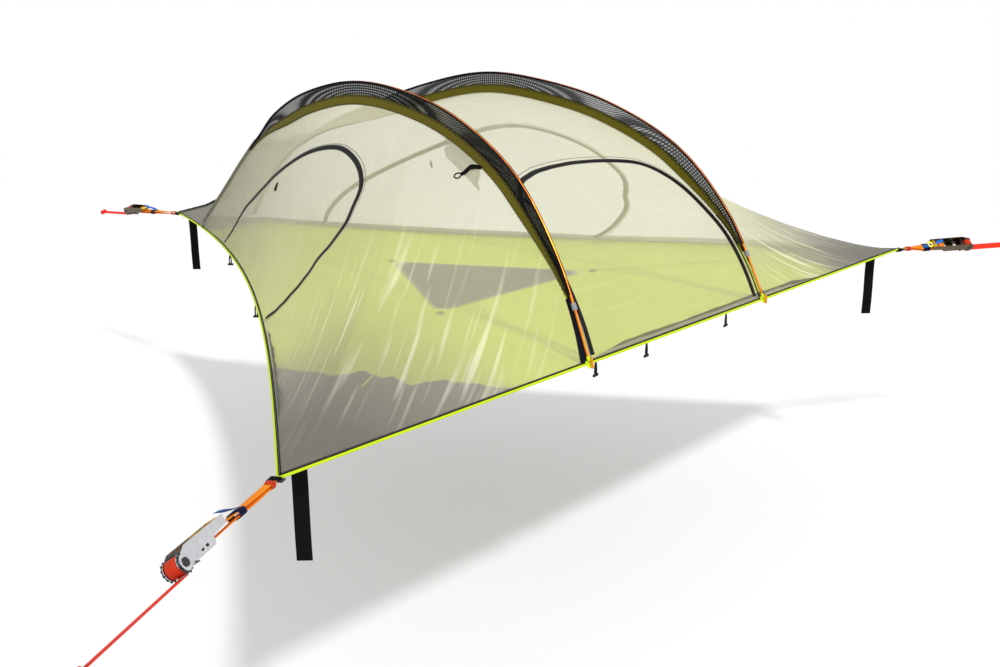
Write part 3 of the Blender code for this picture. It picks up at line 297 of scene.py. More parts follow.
@dataclass(frozen=True)
class Finish:
    """One finish: its colour as seen in the photograph, kind, roughness, thread count and cover."""

    name: str
    colour: Tuple[int, int, int]
    look: Look
    roughness: float = 0.8
    threads: float = 700.0
    cover: float = 1.0
    # Strength of the creases' relief and of the painted highlight on their ridges.
    creases: float = 0.0
    moire: float = 0.0
    through: float = 0.1
    shine: float = 0.3
    variation: float = 0.08
    slant: float = 0.35
    backing: Optional[Tuple[int, int, int]] = None
    # Colour of the painted shade that a mesh takes near the front tips and towards the tail.
    corner: Optional[Tuple[int, int, int]] = None


class Finishes:
    """Every finish of the tent."""

    # A finish with creases also gets a painted highlight on their ridges; the canopy's corner colour is
    # painted shade near the front tips and towards the tail.
    CANOPY = Finish("canopy_mesh", (236, 231, 212), Look.MESH, 0.55, 900, 0.39, 1.0, through=0.4, shine=0.5,
                    corner=(108, 107, 98))
    HOOD = Finish("hood_mesh", (170, 168, 158), Look.MESH, 0.7, 900, 0.72, 0.5, through=0.4)
    FIN = Finish("fin_mesh", (14, 14, 15), Look.MESH, 0.8, 260, 0.94, 0.0, moire=0.34, shine=0.1, slant=0.6)
    FLAP = Finish("flap_cloth", (150, 148, 134), Look.MESH, 0.8, 900, 0.6, 0.5, through=0.4)
    REAR_SLEEVE = Finish("rear_sleeve_cloth", (140, 138, 126), Look.CLOTH, 0.8, 900)
    SKIRT = Finish("skirt_cloth", (112, 111, 100), Look.MESH, 0.8, 900, 0.75, 0.2)
    LIME_HEM = Finish("lime_binding", (214, 238, 12), Look.CLOTH, 0.7, 1200)
    BLACK_BINDING = Finish("black_binding", (14, 15, 30), Look.CLOTH, 0.8, 1200, shine=0.1)
    LIME_FLOOR = Finish("lime_floor", (204, 220, 40), Look.CLOTH, 0.65, 1400, 1.0, 0.3, through=0.0,
                        backing=(150, 150, 138))
    GREY_FLOOR = Finish("grey_floor", (66, 65, 58), Look.CLOTH, 0.5, 1400, 1.0, 0.9, through=0.0, shine=0.5)
    OLIVE = Finish("olive_band", (106, 98, 6), Look.CLOTH, 0.75, 900, 1.0, 0.5)
    BLACK_WEBBING = Finish("black_webbing", (12, 12, 13), Look.CLOTH, 0.85, 500, shine=0.1)
    ORANGE_WEBBING = Finish("orange_webbing", (240, 44, 8), Look.CLOTH, 0.75, 500)
    ROLL_WEBBING = Finish("roll_webbing", (208, 54, 18), Look.CLOTH, 0.75, 500)
    AMBER_WEBBING = Finish("amber_webbing", (250, 146, 16), Look.CLOTH, 0.75, 500)
    BLUE_WEBBING = Finish("blue_webbing", (30, 110, 205), Look.CLOTH, 0.75, 500)
    NAVY_WEBBING = Finish("navy_webbing", (14, 20, 56), Look.CLOTH, 0.75, 500, shine=0.1)
    THREAD = Finish("dark_thread", (12, 12, 10), Look.PLASTIC, 0.7, shine=0.1)
    ZIP = Finish("black_zip", (9, 9, 11), Look.PLASTIC, 0.5, shine=0.1)
    ZIP_FLAP = Finish("grey_piping", (158, 157, 144), Look.CLOTH, 0.75, 900)
    POLE = Finish("orange_pole", (240, 126, 14), Look.METAL, 0.38)
    CLIP = Finish("grey_clip", (124, 124, 126), Look.PLASTIC, 0.4)
    PULL = Finish("black_pull", (11, 11, 12), Look.PLASTIC, 0.5, shine=0.15)
    RUBBER = Finish("black_rubber", (11, 11, 12), Look.PLASTIC, 0.6, shine=0.1)
    RING = Finish("black_ring", (14, 14, 15), Look.PLASTIC, 0.4, shine=0.2)
    CHROME = Finish("chrome_plate", (188, 189, 192), Look.METAL, 0.2)
    DARK_PLATE = Finish("dark_plate", (74, 60, 34), Look.METAL, 0.3)
    STEEL = Finish("bright_steel", (46, 46, 48), Look.METAL, 0.35)
    GOLD = Finish("gold_grip", (176, 138, 22), Look.METAL, 0.42)
    YELLOW = Finish("yellow_tab", (245, 205, 40), Look.METAL, 0.45)


def linear(colour: Sequence[float]) -> Tuple[float, float, float, float]:
    """Linear colour of an eight-bit screen colour.

    Args:
        colour: Red, green and blue from 0 to 255.

    Returns:
        Red, green, blue and alpha, from 0 to 1.
    """
    values = []
    for value in colour:
        share = value / 255
        values.append(share / 12.92 if share <= 0.04045 else ((share + 0.055) / 1.055) ** 2.4)
    return (values[0], values[1], values[2], 1.0)


class Nodes:
    """Small helper that adds and links shader nodes in a tree."""

    def __init__(self, tree: bpy.types.NodeTree) -> None:
        self.tree = tree

    def add(self, kind: str, **values) -> bpy.types.Node:
        """Adds a node and sets its properties and its unlinked inputs.

        Args:
            kind: The node's type name.
            values: Properties by name, or inputs as in_NAME with spaces as underscores.

        Returns:
            The new node.
        """
        node = self.tree.nodes.new(kind)
        for key, value in values.items():
            if not key.startswith("in_"):
                setattr(node, key, value)
        for key, value in values.items():
            if key.startswith("in_"):
                self.put(node, int(key[3:]) if key[3:].isdigit() else key[3:].replace("_", " "), value)
        return node

    def put(self, node: bpy.types.Node, key, value) -> None:
        """Links a socket to an input, or sets the input's own value."""
        socket = node.inputs[key]
        if isinstance(value, bpy.types.NodeSocket):
            self.tree.links.new(value, socket)
        else:
            socket.default_value = value

    def math(self, operation: str, *values) -> bpy.types.NodeSocket:
        """Adds a maths node on up to three values and returns its output."""
        node = self.add("ShaderNodeMath", operation=operation)
        for index, value in enumerate(values):
            self.put(node, index, value)
        return node.outputs[0]

    def times(self, first, *others) -> bpy.types.NodeSocket:
        """Multiplies values and returns the product."""
        for other in others:
            first = self.math("MULTIPLY", first, other)
        return first

    def mix(self, share, first, second) -> bpy.types.NodeSocket:
        """Mixes two colours by a share and returns the mixed colour."""
        return self.add("ShaderNodeMix", data_type="RGBA", in_0=share, in_6=first, in_7=second).outputs[2]

    def reach(self, value, low=0.0, high=1.0, first=0.0, last=1.0) -> bpy.types.NodeSocket:
        """Maps a value from low and high to first and last, and holds it there."""
        node = self.add("ShaderNodeMapRange", in_0=value, in_1=low, in_2=high, in_3=first, in_4=last)
        return node.outputs[0]

    def noise(self, place, scale, detail: float, roughness: float = 0.5) -> bpy.types.NodeSocket:
        """Adds a noise texture and returns its value."""
        return self.add("ShaderNodeTexNoise", in_Vector=place, in_Scale=scale, in_Detail=detail,
                        in_Roughness=roughness).outputs[0]

    def distance(self, place, point: Sequence[float]) -> bpy.types.NodeSocket:
        """Distance of a place from a point."""
        return self.add("ShaderNodeVectorMath", operation="DISTANCE", in_0=place, in_1=point).outputs["Value"]

    def place(self) -> bpy.types.NodeSocket:
        """Object coordinates."""
        return self.add("ShaderNodeTexCoord").outputs["Object"]

    def parts(self, place: Optional[bpy.types.NodeSocket] = None) -> Sequence[bpy.types.NodeSocket]:
        """Parts of a place, or of the cloth's own map where none is given."""
        place = place or self.add("ShaderNodeUVMap", uv_map="lay").outputs[0]
        return self.add("ShaderNodeSeparateXYZ", in_0=place).outputs

    def group(self, tree: bpy.types.NodeTree, **values) -> Sequence[bpy.types.NodeSocket]:
        """Adds a node group and returns its outputs."""
        return self.add("ShaderNodeGroup", node_tree=tree, **values).outputs

    def surface(self, shader: bpy.types.NodeSocket) -> None:
        """Puts out a shader as the material's surface."""
        self.add("ShaderNodeOutputMaterial", in_Surface=shader)


def new_group(name: str, inputs: Sequence[Tuple[str, float]], outputs: Sequence[str]) -> Nodes:
    """Makes a shader node group of values.

    Args:
        name: The group's name.
        inputs: Name and default of each input.
        outputs: Name of each output.

    Returns:
        A helper on the group's tree, with its ends as attributes start and end.
    """
    tree = bpy.data.node_groups.new(name, "ShaderNodeTree")
    for title, default in inputs:
        socket = tree.interface.new_socket(title, in_out="INPUT", socket_type="NodeSocketFloat")
        socket.default_value = default
    for title in outputs:
        tree.interface.new_socket(title, in_out="OUTPUT", socket_type="NodeSocketFloat")
    nodes = Nodes(tree)
    nodes.start = tree.nodes.new("NodeGroupInput").outputs
    nodes.end = tree.nodes.new("NodeGroupOutput")
    return nodes


def weave_group() -> bpy.types.NodeTree:
    """Plain weave on the cloth's own map: thread height and thread cover."""
    nodes = new_group("weave", [("Threads", 700.0)], ("Height", "Cover"))
    lay = nodes.parts()
    waves = [nodes.math("ABSOLUTE", nodes.math("SINE", nodes.times(lay[axis], nodes.start[0], math.pi)))
             for axis in (0, 1)]
    height = nodes.times(*waves)
    nodes.put(nodes.end, 0, height)
    nodes.put(nodes.end, 1, nodes.math("MULTIPLY_ADD", height, -0.35, 1.1))
    return nodes.tree


def crease_group() -> bpy.types.NodeTree:
    """Long soft creases down the cloth: a painted highlight on their ridges, strongest low in front, their
    height, and a corner mask of painted shade near the front tips and towards the tail.
    """
    nodes = new_group("creases", [("Across", 30.0), ("Along", 1.9)], ("Ridge", "Height", "Corner"))
    lay = nodes.parts()
    spot = nodes.add("ShaderNodeCombineXYZ", in_0=nodes.times(lay[0], nodes.start[0]),
                     in_1=nodes.times(lay[1], nodes.start[1])).outputs[0]
    coarse = nodes.noise(spot, 1.0, 1.0, 0.4)
    fine = nodes.noise(spot, 2.3, 3.0, 0.6)
    world = nodes.parts(nodes.place())
    aside = nodes.add("ShaderNodeCombineXYZ", in_0=nodes.math("ABSOLUTE", world[0]), in_1=world[1],
                      in_2=world[2]).outputs[0]
    # Painted highlight: the crease ridges are strongest round this spot, low in front.
    near = nodes.reach(nodes.distance(aside, CREASE_HIGHLIGHT_SPOT), 0.22, 0.62, 1.0, 0.06)
    # Painted shade mask: darker near the front tips and towards the tail.
    corner = nodes.reach(nodes.distance(aside, FRONT_CORNER_SHADE_SPOT), 0.35, 1.15, 1.0, 0.0)
    rear = nodes.reach(world[1], 0.3, 1.6, 0.0, 0.6)
    nodes.put(nodes.end, 0, nodes.times(nodes.reach(coarse, 0.56, 0.70), near))
    nodes.put(nodes.end, 1, nodes.times(nodes.math("ADD", coarse, fine), 0.5))
    nodes.put(nodes.end, 2, nodes.math("MAXIMUM", corner, rear))
    return nodes.tree


def ripple_group() -> bpy.types.NodeTree:
    """Slow ripples that two layers of coarse net make together, as a mask."""
    nodes = new_group("ripples", [("Along", 34.0), ("Across", 46.0)], ("Gap",))
    lay = nodes.parts()
    bend = nodes.times(nodes.math("SINE", nodes.times(lay[0], 3.1)), 9.0)
    along = nodes.math("ADD", nodes.times(lay[0], nodes.start[0], math.tau), bend)
    across = nodes.times(lay[1], nodes.start[1], math.tau)
    lean = nodes.math("ADD", along, nodes.times(across, nodes.math("SINE", nodes.times(lay[0], 4.7))))
    waves = nodes.times(nodes.math("SINE", lean), nodes.math("SINE", nodes.math("SUBTRACT", along, across)))
    right = nodes.reach(nodes.parts(nodes.place())[0], -0.05, 0.05)
    behind = nodes.reach(lay[0], 0.8, 1.4, 0.1, 1.0)
    nodes.put(nodes.end, 0, nodes.times(nodes.reach(waves, 0.15, 0.9), nodes.math("MAXIMUM", right, behind)))
    return nodes.tree


def wear_group() -> bpy.types.NodeTree:
    """Wear on edges and cloudy handling marks, as masks."""
    nodes = new_group("wear", [("Scale", 9.0)], ("Edge", "Cloud"))
    cloud = nodes.noise(nodes.place(), nodes.start[0], 4.0)
    point = nodes.add("ShaderNodeNewGeometry").outputs["Pointiness"]
    nodes.put(nodes.end, 0, nodes.times(nodes.reach(point, 0.51, 0.58), cloud))
    nodes.put(nodes.end, 1, cloud)
    return nodes.tree


def new_material(name: str) -> Tuple[bpy.types.Material, Nodes]:
    """Makes an empty material and a helper on its node tree."""
    material = bpy.data.materials.new(name)
    material.use_nodes = True
    material.node_tree.nodes.clear()
    return material, Nodes(material.node_tree)


def shaded(colour: Sequence[float], factor: float, lift: float = 0.0) -> Tuple[float, ...]:
    """Lighter or darker form of a linear colour."""
    return tuple(min(value * factor + lift, 1.0) for value in colour[:3]) + (1.0,)


@dataclass(frozen=True)
class Grain:
    """How a hard finish wears, shines and feels."""

    metallic: float
    worn_factor: float
    worn_lift: float
    wear_scale: float
    grain_scale: float
    grain_detail: float
    relief: float
    roughness: Pair


GRAINS = {
    Look.METAL: Grain(1.0, 1.35, 0.05, 35.0, 420.0, 2.0, 0.06, (0.8, 1.35)),
    Look.PLASTIC: Grain(0.0, 1.5, 0.02, 60.0, 900.0, 1.0, 0.12, (1.0, 1.0)),
}


class Paints:
    """Makes each finish's material once."""

    def __init__(self) -> None:
        self.weave = weave_group()
        self.creases = crease_group()
        self.wear = wear_group()
        self.ripple = ripple_group()
        self.made: Dict[str, bpy.types.Material] = {}

    def get(self, finish: Finish) -> bpy.types.Material:
        """Material of a finish.

        Args:
            finish: The finish wanted.

        Returns:
            Its material, made on first use.
        """
        if finish.name not in self.made:
            self.made[finish.name], nodes = new_material(finish.name)
            if finish.look in GRAINS:
                self.hard(nodes, finish, GRAINS[finish.look])
            else:
                self.cloth(nodes, finish)
        return self.made[finish.name]

    def cloth(self, nodes: Nodes, finish: Finish) -> None:
        """Woven cloth with creases and a painted highlight on their ridges, and with painted shade near the
        front tips and towards the tail where the finish has a corner colour. A mesh also lets light and sight
        through between its threads.
        """
        base = linear(finish.colour)
        # light is a painted highlight colour for the crease ridges.
        light, dark = shaded(base, 1.22), shaded(base, 1 - 2 * finish.variation)
        weave = nodes.group(self.weave, in_0=finish.threads)
        creases = nodes.group(self.creases)
        colour = nodes.mix(nodes.group(self.wear, in_0=4.0)[1], dark, base)
        ridge = nodes.times(creases[0], finish.creases)
        # Painted shade: the colour goes towards the corner colour near the front tips and towards the tail.
        if finish.corner:
            colour = nodes.mix(nodes.times(creases[2], 0.8), colour, linear(finish.corner))
        # Painted highlight: the crease ridges are mixed towards the lighter colour.
        colour = nodes.mix(ridge, colour, light)
        if finish.moire:
            ripple = nodes.group(self.ripple)[0]
            colour = nodes.mix(nodes.times(ripple, 0.35), colour, linear(MOIRE_COLOUR))
        colour = nodes.mix(nodes.times(weave[0], 0.25), colour, dark)
        if finish.backing:
            under = nodes.add("ShaderNodeNewGeometry").outputs["Backfacing"]
            colour = nodes.mix(under, colour, linear(finish.backing))
        relief = nodes.math("ADD", nodes.times(creases[1], finish.creases), nodes.times(weave[0], 0.05))
        bump = nodes.add("ShaderNodeBump", in_Strength=0.35, in_Distance=0.004, in_Height=relief).outputs[0]
        body = nodes.add("ShaderNodeBsdfPrincipled", in_Base_Color=colour, in_Roughness=finish.roughness,
                         in_Specular_IOR_Level=finish.shine, in_Normal=bump).outputs[0]
        through = nodes.add("ShaderNodeBsdfTranslucent", in_Color=colour, in_Normal=bump).outputs[0]
        last = nodes.add("ShaderNodeMixShader", in_0=finish.through, in_1=body, in_2=through).outputs[0]
        if finish.look is Look.MESH:
            facing = nodes.add("ShaderNodeLayerWeight", in_Blend=0.5).outputs["Facing"]
            slant = nodes.math("MAXIMUM", nodes.math("SUBTRACT", 1.0, facing), 0.2)
            slant = nodes.math("POWER", slant, finish.slant)
            cover = nodes.math("DIVIDE", nodes.times(weave[1], finish.cover), slant)
            # The painted highlight also makes the mesh more solid along the ridges.
            cover = nodes.math("ADD", cover, nodes.times(ridge, 0.3))
            # The painted shade near the front tips and the tail also makes the mesh more solid.
            if finish.corner:
                cover = nodes.math("ADD", cover, nodes.times(creases[2], 0.8, 0.35))
            cover = nodes.math("MINIMUM", cover, 0.985)
            if finish.moire:
                cover = nodes.math("SUBTRACT", cover, nodes.times(ripple, finish.moire))
            clear = nodes.add("ShaderNodeBsdfTransparent").outputs[0]
            last = nodes.add("ShaderNodeMixShader", in_0=cover, in_1=clear, in_2=last).outputs[0]
        nodes.surface(last)

    def hard(self, nodes: Nodes, finish: Finish, grain: Grain) -> None:
        """Metal or moulded plastic with a fine grain, cloudy handling marks and lighter worn edges."""
        base = linear(finish.colour)
        edge, cloud = nodes.group(self.wear, in_0=grain.wear_scale)
        colour = nodes.mix(edge, base, shaded(base, grain.worn_factor, grain.worn_lift))
        smooth, dull = (finish.roughness * share for share in grain.roughness)
        relief = nodes.noise(nodes.place(), grain.grain_scale, grain.grain_detail)
        bump = nodes.add("ShaderNodeBump", in_Strength=grain.relief, in_Distance=0.001, in_Height=relief)
        shine = METAL_SHINE if grain.metallic else finish.shine
        body = nodes.add("ShaderNodeBsdfPrincipled", in_Base_Color=colour, in_Metallic=grain.metallic,
                         in_Roughness=nodes.reach(cloud, first=smooth, last=dull),
                         in_Specular_IOR_Level=shine, in_Normal=bump.outputs[0])
        nodes.surface(body.outputs[0])


PAINTS = Paints()


# Shape of the tent

def through_points(points: Points, share: float) -> Vector:
    """Point at a share of a smooth curve through points, each span as long in share as the next."""
    spans = len(points) - 1
    place = min(max(share, 0), 1) * spans
    first = min(int(place), spans - 1)
    local = place - first
    before = points[max(first - 1, 0)]
    start, end = points[first], points[first + 1]
    after = points[min(first + 2, spans)]
    pull_in, pull_out = (end - before) / 2, (after - start) / 2
    square, cube = local ** 2, local ** 3
    return (start * (2 * cube - 3 * square + 1) + pull_in * (cube - 2 * square + local)
            + end * (3 * square - 2 * cube) + pull_out * (cube - square))


def ramp(value: float, low: float, high: float) -> float:
    """Smooth rise from 0 at low to 1 at high."""
    share = min(max((value - low) / (high - low), 0), 1)
    return share * share * (3 - 2 * share)


def spread(function: Callable[[float], Vector], start: float, end: float, steps: int) -> Points:
    """Points of a function at even steps, both ends included."""
    return [function(start + (end - start) * step / steps) for step in range(steps + 1)]


def mirrored(points: Points) -> Points:
    """Points mirrored to the right side."""
    return [MIRROR @ point for point in points]


class Tent:
    """The tent's lines and surfaces as functions of shares, the same as in the CAD."""

    arch: Points = []

    @staticmethod
    def side_hem(share: float) -> Vector:
        """Point of the left side hem, from the front left tip to the tail tip."""
        start, end = TIPS["front_left"], TIPS["tail"]
        chord = end - start
        inward = Vector((chord.y, -chord.x, 0)).normalized()
        bow = SIDE_BOW * 4 * share * (1 - share) * (1 + SIDE_BOW_SKEW_SHARE * (share - 1 / 2))
        return start + chord * share + inward * bow

    @staticmethod
    def front_hem(place: float) -> Vector:
        """Point of the front hem at a place along X."""
        return Vector((place, FRONT_Y, 0))

    @classmethod
    def rear_share(cls) -> float:
        """Share of the side hem just in front of the rear foot of the left pole."""
        chord = (TIPS["tail"] - TIPS["front_left"]).length
        return REAR_FOOT_SHARE - FOOT_GAP / chord

    @classmethod
    def seam(cls, share: float) -> Vector:
        """Lower seam of the left panel, from the front foot round the tip to the rear foot."""
        place = share * STATIONS
        lift = Vector((0, 0, HEM_RADIUS * 0.8))
        tip_pull = TIPS["front_left"].normalized() * TIP_ROUND / 2
        if place <= FRONT_STATIONS:
            along = place / FRONT_STATIONS
            start = -FOOT_HALF - FOOT_GAP
            point = cls.front_hem(start + (-FRONT_SIDE / 2 - start) * along)
            pull = tip_pull * ramp(along, 0.9, 1.0)
            return point + Vector((0, HEM_RADIUS * 0.9, 0)) + lift - pull
        rear = (place - FRONT_STATIONS) / (STATIONS - FRONT_STATIONS)
        last = cls.rear_share() + 2 * FOOT_GAP / (TIPS["tail"] - TIPS["front_left"]).length
        point = cls.side_hem(rear * last)
        pull = tip_pull * (1 - ramp(rear, 0.0, 0.05))
        inward = Vector((1, -0.5, 0)).normalized() * HEM_RADIUS * 0.9
        return point + inward + lift - pull

    @classmethod
    def pole(cls, share: float) -> Vector:
        """Point of the left pole's middle line."""
        if not cls.arch:
            lift = Vector((0, 0, HEM_RADIUS + POLE_LIFT))
            middle = [Vector((-FOOT_HALF * wide, FRONT_Y + DEPTH * deep, ARCH_RISE * high))
                      for wide, deep, high in ARCH_SHARES]
            rear = cls.side_hem(REAR_FOOT_SHARE) + Vector((0, 0, REAR_LIFT))
            cls.arch = [cls.front_hem(-FOOT_HALF) + lift, *middle, rear]
        return through_points(cls.arch, share)

    @classmethod
    def along(cls, share: float) -> Vector:
        """Direction of the left pole, from its front foot to its rear foot."""
        return (cls.pole(min(share + 0.002, 1)) - cls.pole(max(share - 0.002, 0))).normalized()

    @classmethod
    def inward(cls, share: float) -> Vector:
        """Direction from the left pole towards the canopy."""
        return cls.along(share).cross(Vector((1, 0, 0))).normalized()

    @classmethod
    def outward(cls, share: float) -> Vector:
        """Direction from the left sleeve's face towards the left, square to it."""
        return cls.along(share).cross(cls.inward(share)).normalized()

    @staticmethod
    def sleeve_height(share: float) -> float:
        """Height from the pole down to the canopy."""
        grown = ramp(share, SLEEVE_START_SHARE - SLEEVE_RISE_SHARE / 2,
                     SLEEVE_START_SHARE + SLEEVE_RISE_SHARE)
        grown *= 1 - ramp(share, SLEEVE_END_SHARE - 2 * SLEEVE_RISE_SHARE, SLEEVE_END_SHARE)
        return SLEEVE_STANDOFF + (SLEEVE_HEIGHT - SLEEVE_STANDOFF) * grown

    @classmethod
    def base(cls, share: float) -> Vector:
        """Point where the canopy meets the left sleeve."""
        return cls.pole(share) + cls.inward(share) * cls.sleeve_height(share)

    @classmethod
    def side_point(cls, share: float, down: float) -> Vector:
        """Point of the left panel at a share along it and a share down from the arch to the hem."""
        start = cls.base(share) + cls.outward(share) * EDGE_SHIFT
        end = cls.seam(share)
        point = start.lerp(end, down)
        point.z = end.z + (start.z - end.z) * (1 - down) ** SLOPE_POWER
        return point

    @classmethod
    def roof_point(cls, share: float, across: float) -> Vector:
        """Point of the roof at a share along the arches and a place from -1, left, to 1, right."""
        edge = cls.base(share) - cls.outward(share) * EDGE_SHIFT
        sag = ROOF_SAG * ramp(share, 0, ROOF_SAG_SHARES[0]) * (1 - ramp(share, *ROOF_SAG_SHARES[1:]))
        point = Vector((-edge.x * across, edge.y, edge.z))
        point.x = abs(edge.x) * across
        return point + cls.inward(share) * sag * (1 - across ** 2)

    @staticmethod
    def ridge_height(depth_share: float) -> float:
        """Height of the tail's ridge at a share of the depth."""
        for (near, low), (far, high) in zip(RIDGE_SHARES, RIDGE_SHARES[1:]):
            if depth_share <= far:
                return ARCH_RISE * (low + (high - low) * max(depth_share - near, 0) / (far - near))
        return ARCH_RISE * RIDGE_SHARES[-1][1]

    @classmethod
    def hood_rows(cls, fine: int) -> Rows:
        """Rows of the tail hood, from over the rear of the sleeves out to the tail tip."""
        rows = []
        for step in range(HOOD_FIRST_STATION * fine, STATIONS * fine + 1):
            share = step / (STATIONS * fine)
            pole, out = cls.pole(share), -cls.inward(share)
            crown = pole + out * (POLE_RADIUS + HOOD_CLEAR)
            edge = cls.base(share) + Vector((-HOOD_LAP, 0, 0)) + out * HOOD_CLEAR
            ridge = Vector((0, crown.y, max(cls.ridge_height((crown.y - FRONT_Y) / DEPTH), HEM_RADIUS)))
            rows.append(cls.hood_row(edge, crown, ridge, fine))
        chord = (TIPS["tail"] - TIPS["front_left"]).length
        start = REAR_FOOT_SHARE + FOOT_GAP / chord
        for step in range(1, HOOD_TIP_STEPS * fine):
            share = start + (1 - start) * step / (HOOD_TIP_STEPS * fine)
            end = cls.side_hem(share) + Vector((HEM_RADIUS * 0.7, -HEM_RADIUS * 0.4, HEM_RADIUS * 0.8))
            ridge = Vector((0, end.y, cls.ridge_height((end.y - FRONT_Y) / DEPTH)))
            rows.append(cls.hood_row(end, end.lerp(ridge, 1 / 2), ridge, fine))
        return rows

    @staticmethod
    def hood_row(edge: Vector, crown: Vector, ridge: Vector, fine: int) -> Points:
        """Row of the hood through an edge, a crown point and the ridge, mirrored to the right."""
        left = [edge.lerp(crown, step / (2 * fine)) for step in range(2 * fine)]
        left += [crown.lerp(ridge, step / (2 * fine)) for step in range(2 * fine + 1)]
        return left + [MIRROR @ point for point in reversed(left[:-1])]


def outward_of(name: str) -> Vector:
    """Level direction from the middle of the tent out through a tip."""
    return TIPS[name].normalized()


def strap_frame(name: str, reach: float, rolled: float = 1.0) -> Matrix:
    """Frame on a tree strap's line, X along it outwards, rolled by a share of the ratchet's roll."""
    out = outward_of(name)
    turn = Matrix.Rotation(math.atan2(out.y, out.x), 4, "Z")
    slope = Matrix.Rotation(-STRAP_SLOPES[name], 4, "Y")
    roll = Matrix.Rotation(STRAP_ROLLS[name] * rolled, 4, "X")
    return Matrix.Translation(TIPS[name]) @ turn @ slope @ Matrix.Translation((reach, 0, 0)) @ roll


# Making pieces

def link(obj: bpy.types.Object, finish: Finish, body: str = "tent", slot: Optional[str] = None,
         stands_for: Optional[str] = None, sheet: Optional[Sheet] = None) -> bpy.types.Object:
    """Links a piece to the scene, paints it and makes it ride on a body.

    Args:
        obj: The new object.
        finish: Its finish.
        body: The CAD body that it moves with.
        slot: Not used.
        stands_for: The CAD node that it replaces, if any.
        sheet: How it is held, what it rests on and how full its flat rectangle is, for a piece of cloth.

    Returns:
        The same object.
    """
    bpy.context.scene.collection.objects.link(obj)
    obj.data.materials.append(PAINTS.get(finish))
    for face in obj.data.polygons:
        face.use_smooth = True
    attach(obj, body)
    if stands_for:
        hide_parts(stands_for)
    if sheet:
        declare_sheet(obj, *sheet)
    LOG.info("piece %s: %d faces on %s", obj.name, len(obj.data.polygons), body)
    return obj


def declare_sheet(obj: bpy.types.Object, held: str, rests_on: Sequence[str], fill: float) -> None:
    """Reads the places of a piece of cloth on its own map and lists what it rests on; it declares nothing.

    Args:
        obj: The cloth.
        held: Not used.
        rests_on: What it lies on or hangs from.
        fill: Not used.
    """
    places = [entry.uv[0] for entry in obj.data.uv_layers["lay"].data]
    list(rests_on)


def mesh_object(name: str, verts: Sequence[Vector], faces: Sequence[Sequence[int]],
                lay: Optional[Sequence[Pair]] = None) -> bpy.types.Object:
    """Makes a mesh object with a map named lay, in metres of cloth.

    Args:
        name: The object's name.
        verts: Its points.
        faces: Its faces, as point numbers.
        lay: The place of each point on the cloth's own map.

    Returns:
        The object, not yet linked.
    """
    data = bpy.data.meshes.new(name)
    data.from_pydata([tuple(vert) for vert in verts], [], [tuple(face) for face in faces])
    layer = data.uv_layers.new(name="lay").data
    if lay is not None:
        for loop in data.loops:
            layer[loop.index].uv = lay[loop.vertex_index]
    data.validate()
    return bpy.data.objects.new(name, data)


def joined(rows: Rows) -> Tuple[Points, List[Tuple[int, ...]]]:
    """Points of all rows, and the faces between the rows."""
    width = len(rows[0])
    faces = [(i * width + j, i * width + j + 1, (i + 1) * width + j + 1, (i + 1) * width + j)
             for i in range(len(rows) - 1) for j in range(width - 1)]
    return [point for row in rows for point in row], faces


def grid(name: str, rows: Rows, towards: Vector) -> bpy.types.Object:
    """Sheet through rows of points, its faces turned to a direction.

    Args:
        name: The object's name.
        rows: Rows of points, all equally long.
        towards: A direction that the sheet's faces look along on the whole.

    Returns:
        The object, not yet linked.
    """
    middle = len(rows[0]) // 2
    lay, run = [], 0.0
    for index, row in enumerate(rows):
        run += (row[middle] - rows[index - 1][middle]).length if index else 0.0
        fall = 0.0
        for place, point in enumerate(row):
            fall += (point - row[place - 1]).length if place else 0.0
            lay.append((run, fall))
    verts, faces = joined(rows)
    total = Vector()
    for face in faces:
        total += (verts[face[2]] - verts[face[0]]).cross(verts[face[3]] - verts[face[1]])
    if total.dot(towards) < 0:
        faces = [tuple(reversed(face)) for face in faces]
    return mesh_object(name, verts, faces, lay)


def clipped(obj: bpy.types.Object, depth: Callable[[Vector], float]) -> bpy.types.Object:
    """Cuts a sheet along the line where a depth is zero and keeps what lies below it.

    Args:
        obj: The sheet.
        depth: The signed distance of a point from the cutting line, positive where the sheet is cut away.

    Returns:
        The same object with its new mesh.
    """
    data = obj.data
    verts = [vert.co.copy() for vert in data.vertices]
    values = [depth(point) for point in verts]
    lay = [(0.0, 0.0)] * len(verts)
    for loop in data.loops:
        lay[loop.vertex_index] = tuple(data.uv_layers["lay"].data[loop.index].uv)
    crossings: Dict[Tuple[int, int], int] = {}

    def crossing(first: int, second: int) -> int:
        key = (min(first, second), max(first, second))
        if key not in crossings:
            share = values[key[0]] / (values[key[0]] - values[key[1]])
            crossings[key] = len(verts)
            verts.append(verts[key[0]].lerp(verts[key[1]], share))
            lay.append(tuple(a + (b - a) * share for a, b in zip(lay[key[0]], lay[key[1]])))
        return crossings[key]

    faces = []
    for polygon in data.polygons:
        corners = list(polygon.vertices)
        kept = []
        for corner, after in zip(corners, corners[1:] + corners[:1]):
            if values[corner] <= 0:
                kept.append(corner)
            if (values[corner] <= 0) != (values[after] <= 0):
                kept.append(crossing(corner, after))
        if len(kept) > 2:
            faces.append(kept)
    used = sorted({corner for face in faces for corner in face})
    order = {corner: place for place, corner in enumerate(used)}
    faces = [[order[corner] for corner in face] for face in faces]
    cut = mesh_object(obj.name, [verts[corner] for corner in used], faces, [lay[corner] for corner in used])
    obj.data = cut.data
    bpy.data.objects.remove(cut)
    bpy.data.meshes.remove(data)
    return obj


def placed(place: Optional[Matrix], points: Points, *ways: Directions) -> List[Points]:
    """Points and directions moved to a frame, where one direction may stand for all points."""
    lists = [[way] * len(points) if isinstance(way, Vector) else way for way in ways]
    if place is None:
        return [points, *lists]
    turn = place.to_3x3()
    return [[place @ point for point in points], *([turn @ way for way in entry] for entry in lists)]


